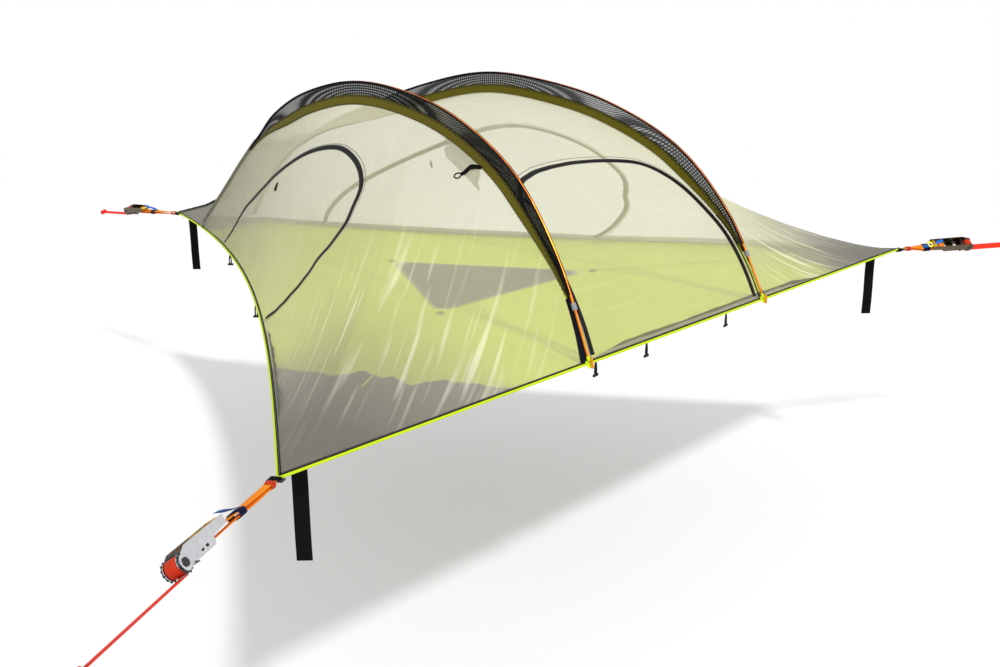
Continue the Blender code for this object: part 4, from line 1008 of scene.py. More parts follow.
def sweep(name: str, finish: Finish, line: Points, normals: Directions, profile: Sequence[Pair], *,
          closed: bool = False, widths: Optional[Sequence[float]] = None, place: Optional[Matrix] = None,
          **linked) -> bpy.types.Object:
    """Solid swept along a line, and linked.

    Args:
        name: The object's name.
        finish: Its finish.
        line: The points that it follows.
        normals: The direction that the profile's second value points along, one or one at each point.
        profile: The cross-section, as places sideways and along the normal.
        closed: True where the line ends at its start.
        widths: A share of the sideways size at each point.
        place: The frame of the line and normals, where it isn't the world.
        linked: What link takes, such as its body and slot.

    Returns:
        The linked object.
    """
    line, normals = placed(place, line, normals)
    count, around = len(line), len(profile)
    verts, lay, run = [], [], 0.0
    for index, point in enumerate(line):
        before = line[index - 1] if index or closed else point
        after = line[(index + 1) % count] if index < count - 1 or closed else point
        tangent = (after - before).normalized()
        side = tangent.cross(normals[index]).normalized()
        up = side.cross(tangent)
        run += (point - line[index - 1]).length if index else 0.0
        wide = widths[index] if widths else 1.0
        for a, b in profile:
            verts.append(point + side * a * wide + up * b)
            lay.append((run, a * wide))
    faces = []
    for index in range(count if closed else count - 1):
        here, there = index * around, (index + 1) % count * around
        for corner in range(around):
            after = (corner + 1) % around
            faces.append((here + corner, here + after, there + after, there + corner))
    if not closed:
        faces.append(tuple(range(around)))
        faces.append(tuple((count - 1) * around + corner for corner in reversed(range(around))))
    obj = mesh_object(name, verts, faces, lay)
    work = bmesh.new()
    work.from_mesh(obj.data)
    bmesh.ops.recalc_face_normals(work, faces=work.faces)
    work.to_mesh(obj.data)
    work.free()
    return link(obj, finish, **linked)


def band(width: float, thickness: float) -> List[Pair]:
    """Cross-section of flat webbing with rounded edges."""
    half, deep = width / 2, thickness / 2
    soft = min(deep, half) * 0.8
    return [(half, -deep / 2), (half, deep / 2), (half - soft, deep), (-half + soft, deep),
            (-half, deep / 2), (-half, -deep / 2), (-half + soft, -deep), (half - soft, -deep)]


HANGING_BAND = band(WEBBING_WIDTH, WEBBING_THICKNESS)
STRAP_BAND = band(STRAP_WIDTH, WEBBING_THICKNESS)


def turns(count: int) -> List[float]:
    """Angles of evenly spaced points round a circle."""
    return [2 * math.pi * step / count for step in range(count)]


def tube(radius: float, corners: int = 10, tall: float = 1.0) -> List[Pair]:
    """Round or oval cross-section."""
    return [(radius * math.cos(turn), radius * tall * math.sin(turn)) for turn in turns(corners)]


def repeat_group(name: str) -> bpy.types.NodeTree:
    """Geometry nodes that set a unit on every point, turned to the point's own directions."""
    tree = bpy.data.node_groups.new(name, "GeometryNodeTree")
    for title, way, kind in (("Geometry", "INPUT", "Geometry"), ("Unit", "INPUT", "Object"),
                             ("Finish", "INPUT", "Material"), ("Geometry", "OUTPUT", "Geometry")):
        tree.interface.new_socket(title, in_out=way, socket_type="NodeSocket" + kind)
    start, end, points, unit, put, real, paint = (tree.nodes.new(kind) for kind in (
        "NodeGroupInput", "NodeGroupOutput", "GeometryNodeMeshToPoints", "GeometryNodeObjectInfo",
        "GeometryNodeInstanceOnPoints", "GeometryNodeRealizeInstances", "GeometryNodeSetMaterial"))
    turned = []
    for attribute, axis, pivot in (("facing", "Z", "AUTO"), ("heading", "X", "Z")):
        read = tree.nodes.new("GeometryNodeInputNamedAttribute")
        read.data_type = "FLOAT_VECTOR"
        read.inputs["Name"].default_value = attribute
        turn = tree.nodes.new("FunctionNodeAlignRotationToVector")
        turn.axis = axis
        turn.pivot_axis = pivot
        tree.links.new(read.outputs["Attribute"], turn.inputs["Vector"])
        turned.append(turn)
    for source, output, target, entry in (
            (turned[0], 0, turned[1], "Rotation"), (start, "Geometry", points, "Mesh"),
            (start, "Unit", unit, "Object"), (points, 0, put, "Points"), (unit, "Geometry", put, "Instance"),
            (turned[1], 0, put, "Rotation"), (put, 0, real, 0), (real, 0, paint, "Geometry"),
            (start, "Finish", paint, "Material"), (paint, 0, end, 0)):
        tree.links.new(source.outputs[output], target.inputs[entry])
    return tree


REPEAT = repeat_group("repeat_on_points")


def repeated(name: str, finish: Finish, unit: bpy.types.Object, points: Points, headings: Directions,
             facings: Directions, place: Optional[Matrix] = None, **linked) -> bpy.types.Object:
    """Sets a unit on every point and links the whole as one plain mesh object.

    Args:
        name: The new object's name.
        finish: The finish of the units.
        unit: The unit, which isn't kept.
        points: Where the units sit.
        headings: The direction of each unit's X.
        facings: The direction of each unit's Z.
        place: The frame of the points and directions, where it isn't the world.
        linked: What link takes, such as its body and slot.

    Returns:
        The linked object.
    """
    points, headings, facings = placed(place, points, headings, facings)
    data = bpy.data.meshes.new(name + "_points")
    data.from_pydata([tuple(point) for point in points], [], [])
    for title, values in (("heading", headings), ("facing", facings)):
        layer = data.attributes.new(title, "FLOAT_VECTOR", "POINT")
        for entry, value in zip(layer.data, values):
            entry.vector = value
    host = bpy.data.objects.new(name + "_host", data)
    for obj in (host, unit):
        bpy.context.scene.collection.objects.link(obj)
    step = host.modifiers.new("repeat", "NODES")
    step.node_group = REPEAT
    sockets = {item.name: item.identifier for item in REPEAT.interface.items_tree if item.in_out == "INPUT"}
    step[sockets["Unit"]] = unit
    step[sockets["Finish"]] = PAINTS.get(finish)
    graph = bpy.context.evaluated_depsgraph_get()
    made = bpy.data.meshes.new_from_object(host.evaluated_get(graph), depsgraph=graph)
    host.modifiers.remove(step)
    for obj in (host, unit):
        bpy.data.objects.remove(obj)
    made.materials.clear()
    made.name = name
    return link(bpy.data.objects.new(name, made), finish, **linked)


def unit_of(work: bmesh.types.BMesh) -> bpy.types.Object:
    """Object of a finished bmesh, to be repeated."""
    data = bpy.data.meshes.new("unit")
    work.to_mesh(data)
    work.free()
    return bpy.data.objects.new("unit", data)


def bar_unit(length: float, width: float, height: float) -> bpy.types.Object:
    """Low rounded bar along X, the unit of stitches, teeth and ribs."""
    work = bmesh.new()
    bmesh.ops.create_cube(work, size=1.0, matrix=Matrix.Diagonal((length, width, height, 1)))
    top = [edge for edge in work.edges if all(vert.co.z > 0 for vert in edge.verts)]
    bmesh.ops.bevel(work, geom=top, offset=min(width, height) * 0.4, segments=1, affect="EDGES")
    return unit_of(work)


def even_line(line: Points, normals: Points, pitch: float) -> Tuple[Points, Points, Points]:
    """Evenly spaced points on a line, with its directions and normals there."""
    points, headings, facings = [], [], []
    place = 0.0
    for index, (start, end) in enumerate(zip(line, line[1:])):
        length = (end - start).length
        while place < length:
            share = place / length
            points.append(start.lerp(end, share))
            headings.append((end - start).normalized())
            facings.append(normals[index].lerp(normals[index + 1], share).normalized())
            place += pitch
        place -= length
    return points, headings, facings


def raised(points: Points, normals: Points, lift: float) -> Points:
    """Points moved along their normals."""
    return [point + normal * lift for point, normal in zip(points, normals)]


def level_inward(ring: Points, index: int) -> Vector:
    """Level direction into a clockwise ring at one of its points."""
    tangent = (ring[(index + 1) % len(ring)] - ring[index - 1]).normalized()
    return Vector((tangent.y, -tangent.x, 0))


# Cloth

def waves(place: float, terms: Sequence[Tuple[float, float, float]]) -> float:
    """Sum of sine waves at a place, each with a size, a rate and a start."""
    return sum(size * math.sin(place * rate + start) for size, rate, start in terms)


def crumple(point: Vector, normal: Vector, run: float, fall: float, depth: float) -> Vector:
    """Moves a point of a panel along its normal by long creases that die out at the panel's edges."""
    calm = min(max(min(fall, 1 - fall) * 4, 0), 1)
    wave = math.sin(run * 61 + 3 * math.sin(fall * 4)) * 0.5 + math.sin(run * 23 + fall * 7) * 0.8
    wave += math.sin(run * 40 + fall * 55) * 0.35
    return point + normal * depth * wave * calm


def side_door_place() -> Tuple[Vector, float, float]:
    """Middle, turn and half length of the left side door's foot."""
    front_end, rear_end = (Tent.side_hem(share) for share in SIDE_DOOR_SHARES)
    chord = rear_end - front_end
    return (front_end + rear_end) / 2, math.atan2(chord.y, chord.x), chord.length / 2


@dataclass(frozen=True)
class DoorPlan:
    """A door's outline in its own upright plane, and where that plane stands."""

    name: str
    shares: Tuple[Pair, ...]
    half: float
    height: float
    foot: Vector
    turn: float
    reach: float = 2.0

    def outline(self, steps: int, grow: float = 0.0) -> List[Pair]:
        """Smooth outline from one foot over the top to the other, grown by a distance."""
        arcs = [Vector((wide, high, 0)) for wide, high in self.shares]
        sill = SILL_HEIGHT - grow
        wide, tall = self.half + grow, self.height + grow - sill
        spots = (through_points(arcs, step / steps) for step in range(steps + 1))
        return [(spot.x * wide, sill + max(spot.y, 0) * tall) for spot in spots]

    def along(self) -> Vector:
        """Level direction along the door's foot."""
        return Vector((math.cos(self.turn), math.sin(self.turn), 0))

    def out(self) -> Vector:
        """Level direction out of the tent."""
        normal = Vector((math.sin(self.turn), -math.cos(self.turn), 0))
        return normal if normal.dot(self.foot) > 0 else -normal

    def on_panel(self, tree: BVHTree, grow: float) -> Tuple[Points, Points]:
        """Outline grown by a distance and laid on the panel, with the panel's outward normals."""
        points, normals = [], []
        for wide, high in self.outline(ZIP_STEPS, grow):
            start = self.foot + self.along() * wide + self.out() * RAY_START + Vector((0, 0, high))
            spot, normal, _, _ = tree.ray_cast(start, -self.out())
            if spot is None:
                continue
            points.append(spot)
            normals.append(normal if normal.dot(self.out()) > 0 else -normal)
        return points, normals

    def depth(self) -> Callable[[Vector], float]:
        """Function that gives how deep a point lies inside the outline, negative outside it."""
        outline = self.outline(OUTLINE_STEPS)
        edges = list(zip(outline, outline[1:] + outline[:1]))
        c, s = math.cos(self.turn), math.sin(self.turn)
        out = self.out()
        far = max(abs(wide) for wide, _ in outline)

        def inside(point: Vector) -> float:
            away = point - self.foot
            x, y = away.x * c + away.y * s, point.z
            if abs(x) > far + FAR_OUTSIDE or y > self.height + FAR_OUTSIDE or -away.dot(out) > self.reach:
                return -FAR_OUTSIDE
            nearest, within = 1.0, False
            for (ax, ay), (bx, by) in edges:
                span = (bx - ax) ** 2 + (by - ay) ** 2
                share = min(max(((x - ax) * (bx - ax) + (y - ay) * (by - ay)) / span, 0), 1)
                nearest = min(nearest, math.hypot(x - ax - (bx - ax) * share, y - ay - (by - ay) * share))
                if (ay > y) != (by > y) and x < (bx - ax) * (y - ay) / (by - ay) + ax:
                    within = not within
            return nearest if within else -nearest

        return inside


@dataclass
class Canopy:
    """Mesh panels, doors, tail hood and everything sewn to them."""

    along: int = 240
    down: int = 48
    roof_fine: int = 6
    hood_fine: int = 3

    def side_rows(self) -> Rows:
        """Dense rows of the left panel with its creases."""
        rows = [[Tent.side_point(step / self.along, place / self.down) for place in range(self.down + 1)]
                for step in range(self.along + 1)]
        for step in range(1, self.along):
            behind, row, ahead = rows[step - 1:step + 2]
            moved = []
            for place in range(1, self.down):
                normal = (ahead[place] - behind[place]).cross(row[place + 1] - row[place - 1]).normalized()
                moved.append(crumple(row[place], normal, step / self.along, place / self.down, SIDE_CREASE))
            rows[step] = [row[0], *moved, row[-1]]
        return rows

    def roof_rows(self) -> Rows:
        """Dense rows of the roof, from the front hem to the tail hood."""
        wides = [2 * place / (2 * self.down) - 1 for place in range(2 * self.down + 1)]
        lift = Vector((0, HEM_RADIUS * 0.9, HEM_RADIUS * 0.8))
        rows = [[Tent.front_hem((FOOT_HALF - FOOT_GAP) * wide) + lift for wide in wides],
                [Tent.roof_point(0, wide) for wide in wides]]
        steps = ROOF_LAST_STATION * self.roof_fine
        for step in range(1, steps + 1):
            share = step / (STATIONS * self.roof_fine)
            normal, fall = -Tent.inward(share), step / steps * 0.9 + 0.05
            rows.append([crumple(Tent.roof_point(share, wide), normal, wide * 0.4, fall,
                                 ROOF_CREASE * (1 - wide ** 2)) for wide in wides])
        return rows

    def build(self) -> None:
        """Builds every canopy piece."""
        middle, turn, half = side_door_place()
        other = tuple((-wide, high) for wide, high in reversed(SIDE_DOOR_ARC_SHARES))
        left = self.side_rows()
        panels = (
            ("left", left, Vector((-1, -0.3, 0.6)),
             DoorPlan("left_door", SIDE_DOOR_ARC_SHARES, half, SIDE_DOOR_HEIGHT, middle, turn)),
            ("right", [mirrored(row) for row in left], Vector((1, -0.3, 0.6)),
             DoorPlan("right_door", other, half, SIDE_DOOR_HEIGHT, MIRROR @ middle, -turn)),
            ("roof", self.roof_rows(), Vector((0, -0.3, 1)),
             DoorPlan("front_door", FRONT_DOOR_ARC_SHARES, FRONT_DOOR_HALF, FRONT_DOOR_HEIGHT,
                      Tent.front_hem(0), 0, 0.75)),
        )
        for side, rows, towards, plan in panels:
            depth = plan.depth()
            for name, body, stands_for, sign, sheet in (
                    ("canopy_cloth_" + side, "tent", "canopy_" + side, 1,
                     ("stretched", ["arch_pole_left", "hem"], 0.5)),
                    (plan.name + "_cloth", plan.name, plan.name, -1,
                     ("stretched", ["canopy_cloth_" + side], 0.6))):
                cloth = clipped(grid(name, rows, towards), lambda point: DOOR_GAP / 2 + depth(point) * sign)
                link(cloth, Finishes.CANOPY, body, "cream_mesh", stands_for, sheet)
            self.zip(plan, BVHTree.FromPolygons(*joined(rows)))
        self.hood()

    @staticmethod
    def zip(plan: DoorPlan, tree: BVHTree) -> None:
        """Zip round a door: black tape with coil teeth on the panel, and a grey piping line beside it."""
        points, normals = plan.on_panel(tree, ZIP_GROW)
        line = raised(points, normals, ZIP_LIFT)
        sweep(plan.name + "_zip_tape", Finishes.ZIP, line, normals, band(*ZIP_TAPE))
        outer, away = plan.on_panel(tree, PIPING_GROW)
        line = raised(outer, away, ZIP_LIFT)
        sweep(plan.name + "_zip_piping", Finishes.ZIP_FLAP, line, away, band(*ZIP_PIPING))
        repeated(plan.name + "_zip_teeth", Finishes.ZIP, bar_unit(*TOOTH),
                 *even_line(raised(points, normals, TEETH_LIFT), normals, TEETH_PITCH))

    def hood(self) -> None:
        """Tail hood with the webbing on its ridge."""
        rows = Tent.hood_rows(self.hood_fine)
        link(grid("canopy_cloth_tail", rows, Vector((0, 0.2, 1))), Finishes.HOOD, "tent", "cream_mesh",
             "canopy_tail", ("stretched", ["arch_pole_left", "hem"], 0.6))
        ridge = [row[len(row) // 2] + Vector((0, 0, RIDGE_LIFT)) for row in rows if row[0].y > RIDGE_FIRST_Y]
        ridge.append(RIDGE_END)
        line = spread(lambda share: through_points(ridge, share), 0, 1, 60)
        sweep("ridge_webbing", Finishes.BLACK_WEBBING, line, UP, band(*RIDGE_WEBBING))


@dataclass(frozen=True)
class Skirt:
    """One wavy grey band inside the hem."""

    name: str
    line: Callable[[float], Vector]
    lean: Vector
    height: float
    ragged: float

    def build(self) -> None:
        """Builds the band."""
        rows = []
        for step in range(SKIRT_STEPS + 1):
            share = step / SKIRT_STEPS
            fade = min(max(min(share, 1 - share) * 8, 0.12), 1)
            tall = self.height * (1 + self.ragged * waves(share, SKIRT_WAVES)) * fade
            rows.append([self.line(share) + self.lean.normalized() * tall * place / 3 for place in range(4)])
        sheet = grid("skirt_" + self.name, rows, UP.cross(rows[1][0] - rows[0][0]))
        link(sheet, Finishes.SKIRT, "tent", "grey_floor", sheet=("stretched", ["hem_piping"], 0.7))


@dataclass
class Edge:
    """Hem piping, its black binding with stitches, and the grey skirts."""

    def ring(self) -> Points:
        """Hem outline with rounded tips, clockwise from the front middle."""
        half = spread(Tent.front_hem, 0, -FRONT_SIDE / 2 + TIP_ROUND, 60)
        half += self.corner(TIPS["front_left"], half[-1], Tent.side_hem(0.0036))
        half += spread(Tent.side_hem, 0.0045, 0.9955, 160)
        tail = self.corner(TIPS["tail"], half[-1], MIRROR @ half[-1])
        return half + tail + mirrored(reversed(half[1:]))

    @staticmethod
    def corner(tip: Vector, start: Vector, end: Vector) -> Points:
        """Short arc round a tip."""
        return [start.lerp(tip, share).lerp(tip.lerp(end, share), share)
                for share in (step / 8 for step in range(1, 8))]

    def build(self) -> None:
        """Builds the whole edge."""
        ring = self.ring()
        sweep("hem_piping", Finishes.LIME_HEM, ring, UP, tube(*HEM_PIPING), closed=True, slot="lime_binding",
              stands_for="hem")
        inner = [point + level_inward(ring, index) * BINDING_INSET + Vector((0, 0, BINDING_LIFT))
                 for index, point in enumerate(ring)]
        slopes = [(UP - level_inward(inner, index) * BINDING_LEAN).normalized()
                  for index in range(len(inner))]
        sweep("hem_binding", Finishes.BLACK_BINDING, inner, slopes, band(*HEM_BINDING), closed=True)
        spots, headings, facings = even_line(inner, slopes, HEM_STITCH_PITCH)
        repeated("hem_stitches", Finishes.ZIP_FLAP, bar_unit(*HEM_STITCH),
                 raised(spots, facings, HEM_STITCH_LIFT), headings, facings)
        for skirt in (
                Skirt("front", lambda share: Vector((-0.60 + 1.75 * share, FRONT_Y + 0.016, 0.006)),
                      Vector((0, 0.30, 1)), 0.024, 0.12),
                Skirt("right", lambda share: MIRROR @ (Tent.side_hem(0.05 + 0.90 * share) + SKIRT_INSET),
                      Vector((-0.45, -0.2, 1)), 0.036, 0.08),
                Skirt("left", lambda share: Tent.side_hem(0.10 + 0.24 * share) + SKIRT_INSET,
                      Vector((0.45, -0.2, 1)), 0.020, 0.4)):
            skirt.build()


@dataclass
class Floor:
    """Stretched floor, grey corners and the hatch."""

    edge: List[Pair] = field(default_factory=list)

    @staticmethod
    def height(x: float, y: float) -> float:
        """Height of the floor's slight waves."""
        return FLOOR_WAVE * math.sin(x * 9 + y * 4) + FLOOR_WAVE * math.sin(y * 13 - x * 3)

    @staticmethod
    def hatch(grow: float) -> List[Pair]:
        """Rounded triangle of the hatch."""
        reach = HATCH_SIDE / math.sqrt(3) + 2 * grow - 2 * HATCH_ROUND
        places = []
        for number in range(3):
            away = math.pi / 2 + 2 * math.pi * number / 3
            for step in range(9):
                turn = away - math.pi / 3 + 2 * math.pi / 3 * step / 8
                places.append((reach * math.cos(away) + HATCH_ROUND * math.cos(turn),
                               HATCH_CENTRE_Y + reach * math.sin(away) + HATCH_ROUND * math.sin(turn)))
        return places

    def sheet(self, name: str, outlines: Sequence[List[Pair]], lift: float) -> bpy.types.Object:
        """Flat sheet inside an outline.

        Args:
            name: The object's name.
            outlines: The outline, and a hole's outline where it has one.
            lift: The sheet's height.

        Returns:
            The object with its own map, not yet linked.
        """
        curve = bpy.data.curves.new(name, "CURVE")
        curve.dimensions = "2D"
        curve.fill_mode = "BOTH"
        for places in outlines:
            spline = curve.splines.new("POLY")
            spline.points.add(len(places) - 1)
            spline.use_cyclic_u = True
            for entry, (x, y) in zip(spline.points, places):
                entry.co = (x, y, 0, 1)
        flat = bpy.data.objects.new(name, curve)
        bpy.context.scene.collection.objects.link(flat)
        graph = bpy.context.evaluated_depsgraph_get()
        data = bpy.data.meshes.new_from_object(flat.evaluated_get(graph), depsgraph=graph)
        bpy.data.objects.remove(flat)
        work = bmesh.new()
        work.from_mesh(data)
        bmesh.ops.remove_doubles(work, verts=work.verts, dist=0.00001)
        for _ in range(3):
            long = [edge for edge in work.edges if edge.calc_length() > FLOOR_EDGE]
            if long:
                bmesh.ops.subdivide_edges(work, edges=long, cuts=1, use_grid_fill=True)
        bmesh.ops.triangulate(work, faces=work.faces)
        for vert in work.verts:
            vert.co.z = lift + self.height(vert.co.x, vert.co.y)
        layer = work.loops.layers.uv.new("lay")
        for face in work.faces:
            if face.normal.z < 0:
                face.normal_flip()
            for loop in face.loops:
                loop[layer].uv = (loop.vert.co.x, loop.vert.co.y)
        work.to_mesh(data)
        work.free()
        data.materials.clear()
        data.name = name
        return bpy.data.objects.new(name, data)

    def build(self) -> None:
        """Builds the floor, its corners, hatch and seams."""
        ring = Edge().ring()
        insets = (ring[index] + level_inward(ring, index) * FLOOR_INSET for index in range(0, len(ring), 2))
        self.edge = [(point.x, point.y) for point in insets]
        floor = self.sheet("floor_cloth", [self.edge, self.hatch(HATCH_GAP)], FLOOR_LIFT)
        link(floor, Finishes.LIME_FLOOR, "tent",
             "lime_floor", "floor_panel", ("stretched", ["hem_piping"], 0.5))
        for name in TIPS:
            self.corner(name)
        self.hatch_cloth()
        self.seams()

    def corner(self, name: str) -> None:
        """Grey reinforced corner with a wavy inner edge."""
        tip, reach, count = TIPS[name], CORNER_REACHES[name], len(self.edge)
        near = [math.hypot(x - tip.x, y - tip.y) < reach for x, y in self.edge]
        index = next(i for i in range(count) if near[i] and not near[i - 1])
        run = []
        while near[index % count]:
            run.append(self.edge[index % count])
            index += 1
        first, last = Vector((*run[0], 0)), Vector((*run[-1], 0))
        side = (last - first).cross(UP).normalized()
        for step in range(1, 60):
            share = step / 60
            wave = waves(share, ((0.030, 17, reach), *CORNER_WAVES))
            spot = last.lerp(first, share) + side * wave * min(share, 1 - share) * 3
            run.append((spot.x, spot.y))
        link(self.sheet("floor_corner_cloth_" + name, [run], CORNER_LIFT), Finishes.GREY_FLOOR, "tent",
             "grey_floor", "floor_corner_" + name, ("stretched", ["floor_cloth"], 0.5))

    def hatch_cloth(self) -> None:
        """Hatch cloth, its zip and the loops at its corners."""
        link(self.sheet("floor_hatch_cloth", [self.hatch(-HATCH_GAP)], HATCH_LIFT), Finishes.GREY_FLOOR,
             "floor_hatch", "grey_floor", "floor_hatch", ("stretched", ["floor_cloth"], 0.45))
        outline = [Vector((x, y, HATCH_ZIP_LIFT + self.height(x, y))) for x, y in self.hatch(HATCH_ZIP_GROW)]
        sweep("floor_hatch_zip", Finishes.ZIP_FLAP, outline, UP, band(*HATCH_ZIP), closed=True)
        for number, (x, y) in enumerate(HATCH_LOOPS):
            centre = Vector((x * 1.13, y * 1.13 - 0.01, 0.004))
            loop = [centre + Vector((0.018 * math.cos(turn), 0.012 * math.sin(turn), 0.002))
                    for turn in turns(20)]
            sweep("hatch_loop_%d" % number, Finishes.RUBBER, loop, UP, tube(*HATCH_CORD), closed=True)

    def seams(self) -> None:
        """Sewn floor lines from the hatch's corners towards the three tips."""
        for name, place in SEAM_STARTS.items():
            start, end = Vector(place), TIPS[name] - outward_of(name) * CORNER_REACHES[name] * 0.75
            line = spread(lambda share: start.lerp(end, share), 0, 1, 40)
            line = [Vector((point.x, point.y, SEAM_LIFT + self.height(point.x, point.y))) for point in line]
            sweep("floor_seam_" + name, Finishes.LIME_FLOOR, line, UP, band(*FLOOR_SEAM))


@dataclass
class Arch:
    """Sleeve of one pole: black mesh fin, olive bands, stitches, gusset and pocket."""

    side: str

    def turn(self, points: Points) -> Points:
        """Points of the left arch on this arch's side."""
        return mirrored(points) if self.side == "right" else points

    def sheet(self, name: str, rows: Rows, towards: Vector) -> bpy.types.Object:
        """Sheet through rows of the left arch, on this arch's side."""
        return grid("%s_%s" % (name, self.side), [self.turn(row) for row in rows], towards)

    def strip(self, name: str, finish: Finish, line: Points, normals: Points, profile: Sequence[Pair],
              **more) -> None:
        """Sweeps a cross-section along a line of the left arch, on this arch's side."""
        sweep("%s_%s" % (name, self.side), finish, self.turn(line), self.turn(normals), profile, **more)

    def along_pole(self, name: str, finish: Finish, span: Pair, steps: int, profile: Sequence[Pair],
                   **more) -> None:
        """Sweeps a cross-section along a stretch of the pole."""
        line, normals = (spread(way, *span, steps) for way in (Tent.pole, Tent.inward))
        self.strip(name, finish, line, normals, profile, **more)

    @staticmethod
    def rows(high: Callable[[float], float], low: Callable[[float], float], span: Pair, side: float) -> Rows:
        """Rows of a strip that hangs from the left pole between two depths."""
        rows = []
        for step in range(201):
            share = span[0] + (span[1] - span[0]) * step / 200
            pole, inward, out = Tent.pole(share), Tent.inward(share), Tent.outward(share)
            top, bottom = high(share), low(share)
            rows.append([pole + inward * (top + (bottom - top) * place / 4) + out * side
                         for place in range(5)])
        return rows

    @staticmethod
    def split(share: float) -> float:
        """Depth of the seam between the fin and the olive band."""
        return Tent.sleeve_height(share) * SLEEVE_SPLIT

    @staticmethod
    def band_low(share: float) -> float:
        """Depth of the olive band's lower edge. The band runs out to a point at the clip."""
        return Tent.sleeve_height(share) * (SLEEVE_SPLIT + (1 - SLEEVE_SPLIT) * ramp(share, 0.045, 0.085))

    def build(self) -> None:
        """Builds the pieces of the arch."""
        facing = Vector((1 if self.side == "right" else -1, 0, 0))
        rows = self.rows(lambda _: POLE_RADIUS * 0.4, lambda share: self.split(share) + FIN_LAP, FIN_SPAN, 0)
        link(self.sheet("sleeve_fin", rows, facing), Finishes.FIN, "tent", "olive_sleeve",
             "pole_sleeve_" + self.side, ("stretched", ["arch_pole_" + self.side], 0.8))
        for word, sign in (("outer", 1), ("inner", -1)):
            rows = self.rows(self.split, lambda share: self.band_low(share) + BAND_LAP, BAND_SPAN,
                             BAND_SHIFT * sign)
            link(self.sheet("sleeve_band_" + word, rows, facing * sign), Finishes.OLIVE, "tent",
                 "olive_sleeve", sheet=("stretched", ["sleeve_fin_" + self.side], 0.8))
            self.stitches(word, sign)
        self.channel()
        self.gusset()
        self.pocket()

    def stitches(self, word: str, sign: int) -> None:
        """Slanted dark stitches along the olive band's lower edge and along a seam on it."""
        first, last = STITCH_SPAN
        for edge, depth, pitch in (("low", self.band_low, 0.010),
                                   ("high", lambda share: Tent.sleeve_height(share) * 0.60, 0.014)):
            line, normals = [], []
            for step in range(301):
                share = first + (last - first) * step / 300
                out = Tent.outward(share)
                line.append(Tent.pole(share) + Tent.inward(share) * (depth(share) + FIN_LAP)
                            + out * BAND_SHIFT * sign + out * sign * SLEEVE_STITCH_LIFT)
                normals.append(out * sign)
            spots, headings, facings = even_line(self.turn(line), self.turn(normals), pitch)
            leans = [STITCH_LEAN if index % 2 else -STITCH_LEAN for index in range(len(spots))]
            slanted = [(heading + facing.cross(heading) * lean).normalized()
                       for heading, facing, lean in zip(headings, facings, leans)]
            repeated("sleeve_stitches_%s_%s_%s" % (edge, word, self.side), Finishes.THREAD,
                     bar_unit(pitch * 1.2, 0.0026, 0.0012), spots, slanted, facings)

    def channel(self) -> None:
        """Black channel that holds the pole on the fin, open along its top, and a pale sleeve at the rear."""
        arc = [math.radians(angle) for angle in range(-125, 126, 25)]
        profile = []
        for reach, angles in ((CHANNEL_OUTER, arc), (CHANNEL_INNER, reversed(arc))):
            profile += [(reach * math.sin(angle), reach * math.cos(angle)) for angle in angles]
        self.along_pole("sleeve_channel", Finishes.BLACK_BINDING, CHANNEL_SPAN, 240, profile)
        self.along_pole("sleeve_rear", Finishes.REAR_SLEEVE, REAR_SPAN, 80, tube(*REAR_SLEEVE))

    def gusset(self) -> None:
        """Dark triangular patch and strip beside the bare foot of the pole."""
        rows = []
        for step in range(25):
            share = 0.001 + 0.060 * step / 24
            start = Tent.pole(share) + Tent.inward(share) * 0.003 + Tent.outward(share) * 0.0056
            length = max((Tent.seam(share) - Tent.base(share)).length, 0.02)
            reach = (0.040 * (1 - step / 24) + 0.006) / length
            end = Tent.side_point(share, min(reach, 0.95)) + Vector((-0.0016, -0.0012, 0.0012))
            rows.append([start.lerp(end, place / 4) for place in range(5)])
        towards = Vector((-1 if self.side == "left" else 1, -1, 0.5))
        link(self.sheet("foot_gusset", rows, towards), Finishes.BLACK_BINDING)
        lift = Vector((0, -0.0016, 0.0012))
        line = spread(lambda share: Tent.roof_point(share, -0.990) + lift, *STRIP_SPAN, 30)
        normals = spread(lambda share: -Tent.inward(share), *STRIP_SPAN, 30)
        self.strip("foot_strip", Finishes.BLACK_BINDING, line, normals, band(*FOOT_STRIP))

    def pocket(self) -> None:
        """Lime webbing pocket that holds the foot of the pole on the hem, its tab and the pole's peg."""
        self.along_pole("foot_pocket", Finishes.LIME_HEM, POCKET_SPAN, 12, tube(*POCKET),
                        slot="lime_pocket", stands_for="front_pocket_" + self.side,
                        widths=[1.25 - 0.25 * step / 12 for step in range(13)])
        foot = self.turn([Tent.pole(0.0)])[0]
        tab = [foot + Vector((0, -0.012 + 0.004 * step, -0.024 + 0.0055 * step)) for step in range(6)]
        sweep("foot_tab_" + self.side, Finishes.LIME_HEM, tab, Vector((0, -1, 0.4)).normalized(),
              band(*FOOT_TAB), slot="lime_pocket")
        peg = [foot + Vector((0, -0.011 - 0.0014 * step, 0.012 - 0.0075 * step)) for step in range(6)]
        sweep("pole_peg_" + self.side, Finishes.POLE, peg, Vector((0, -1, 0)), tube(POLE_RADIUS, 12),
              slot="orange_pole")


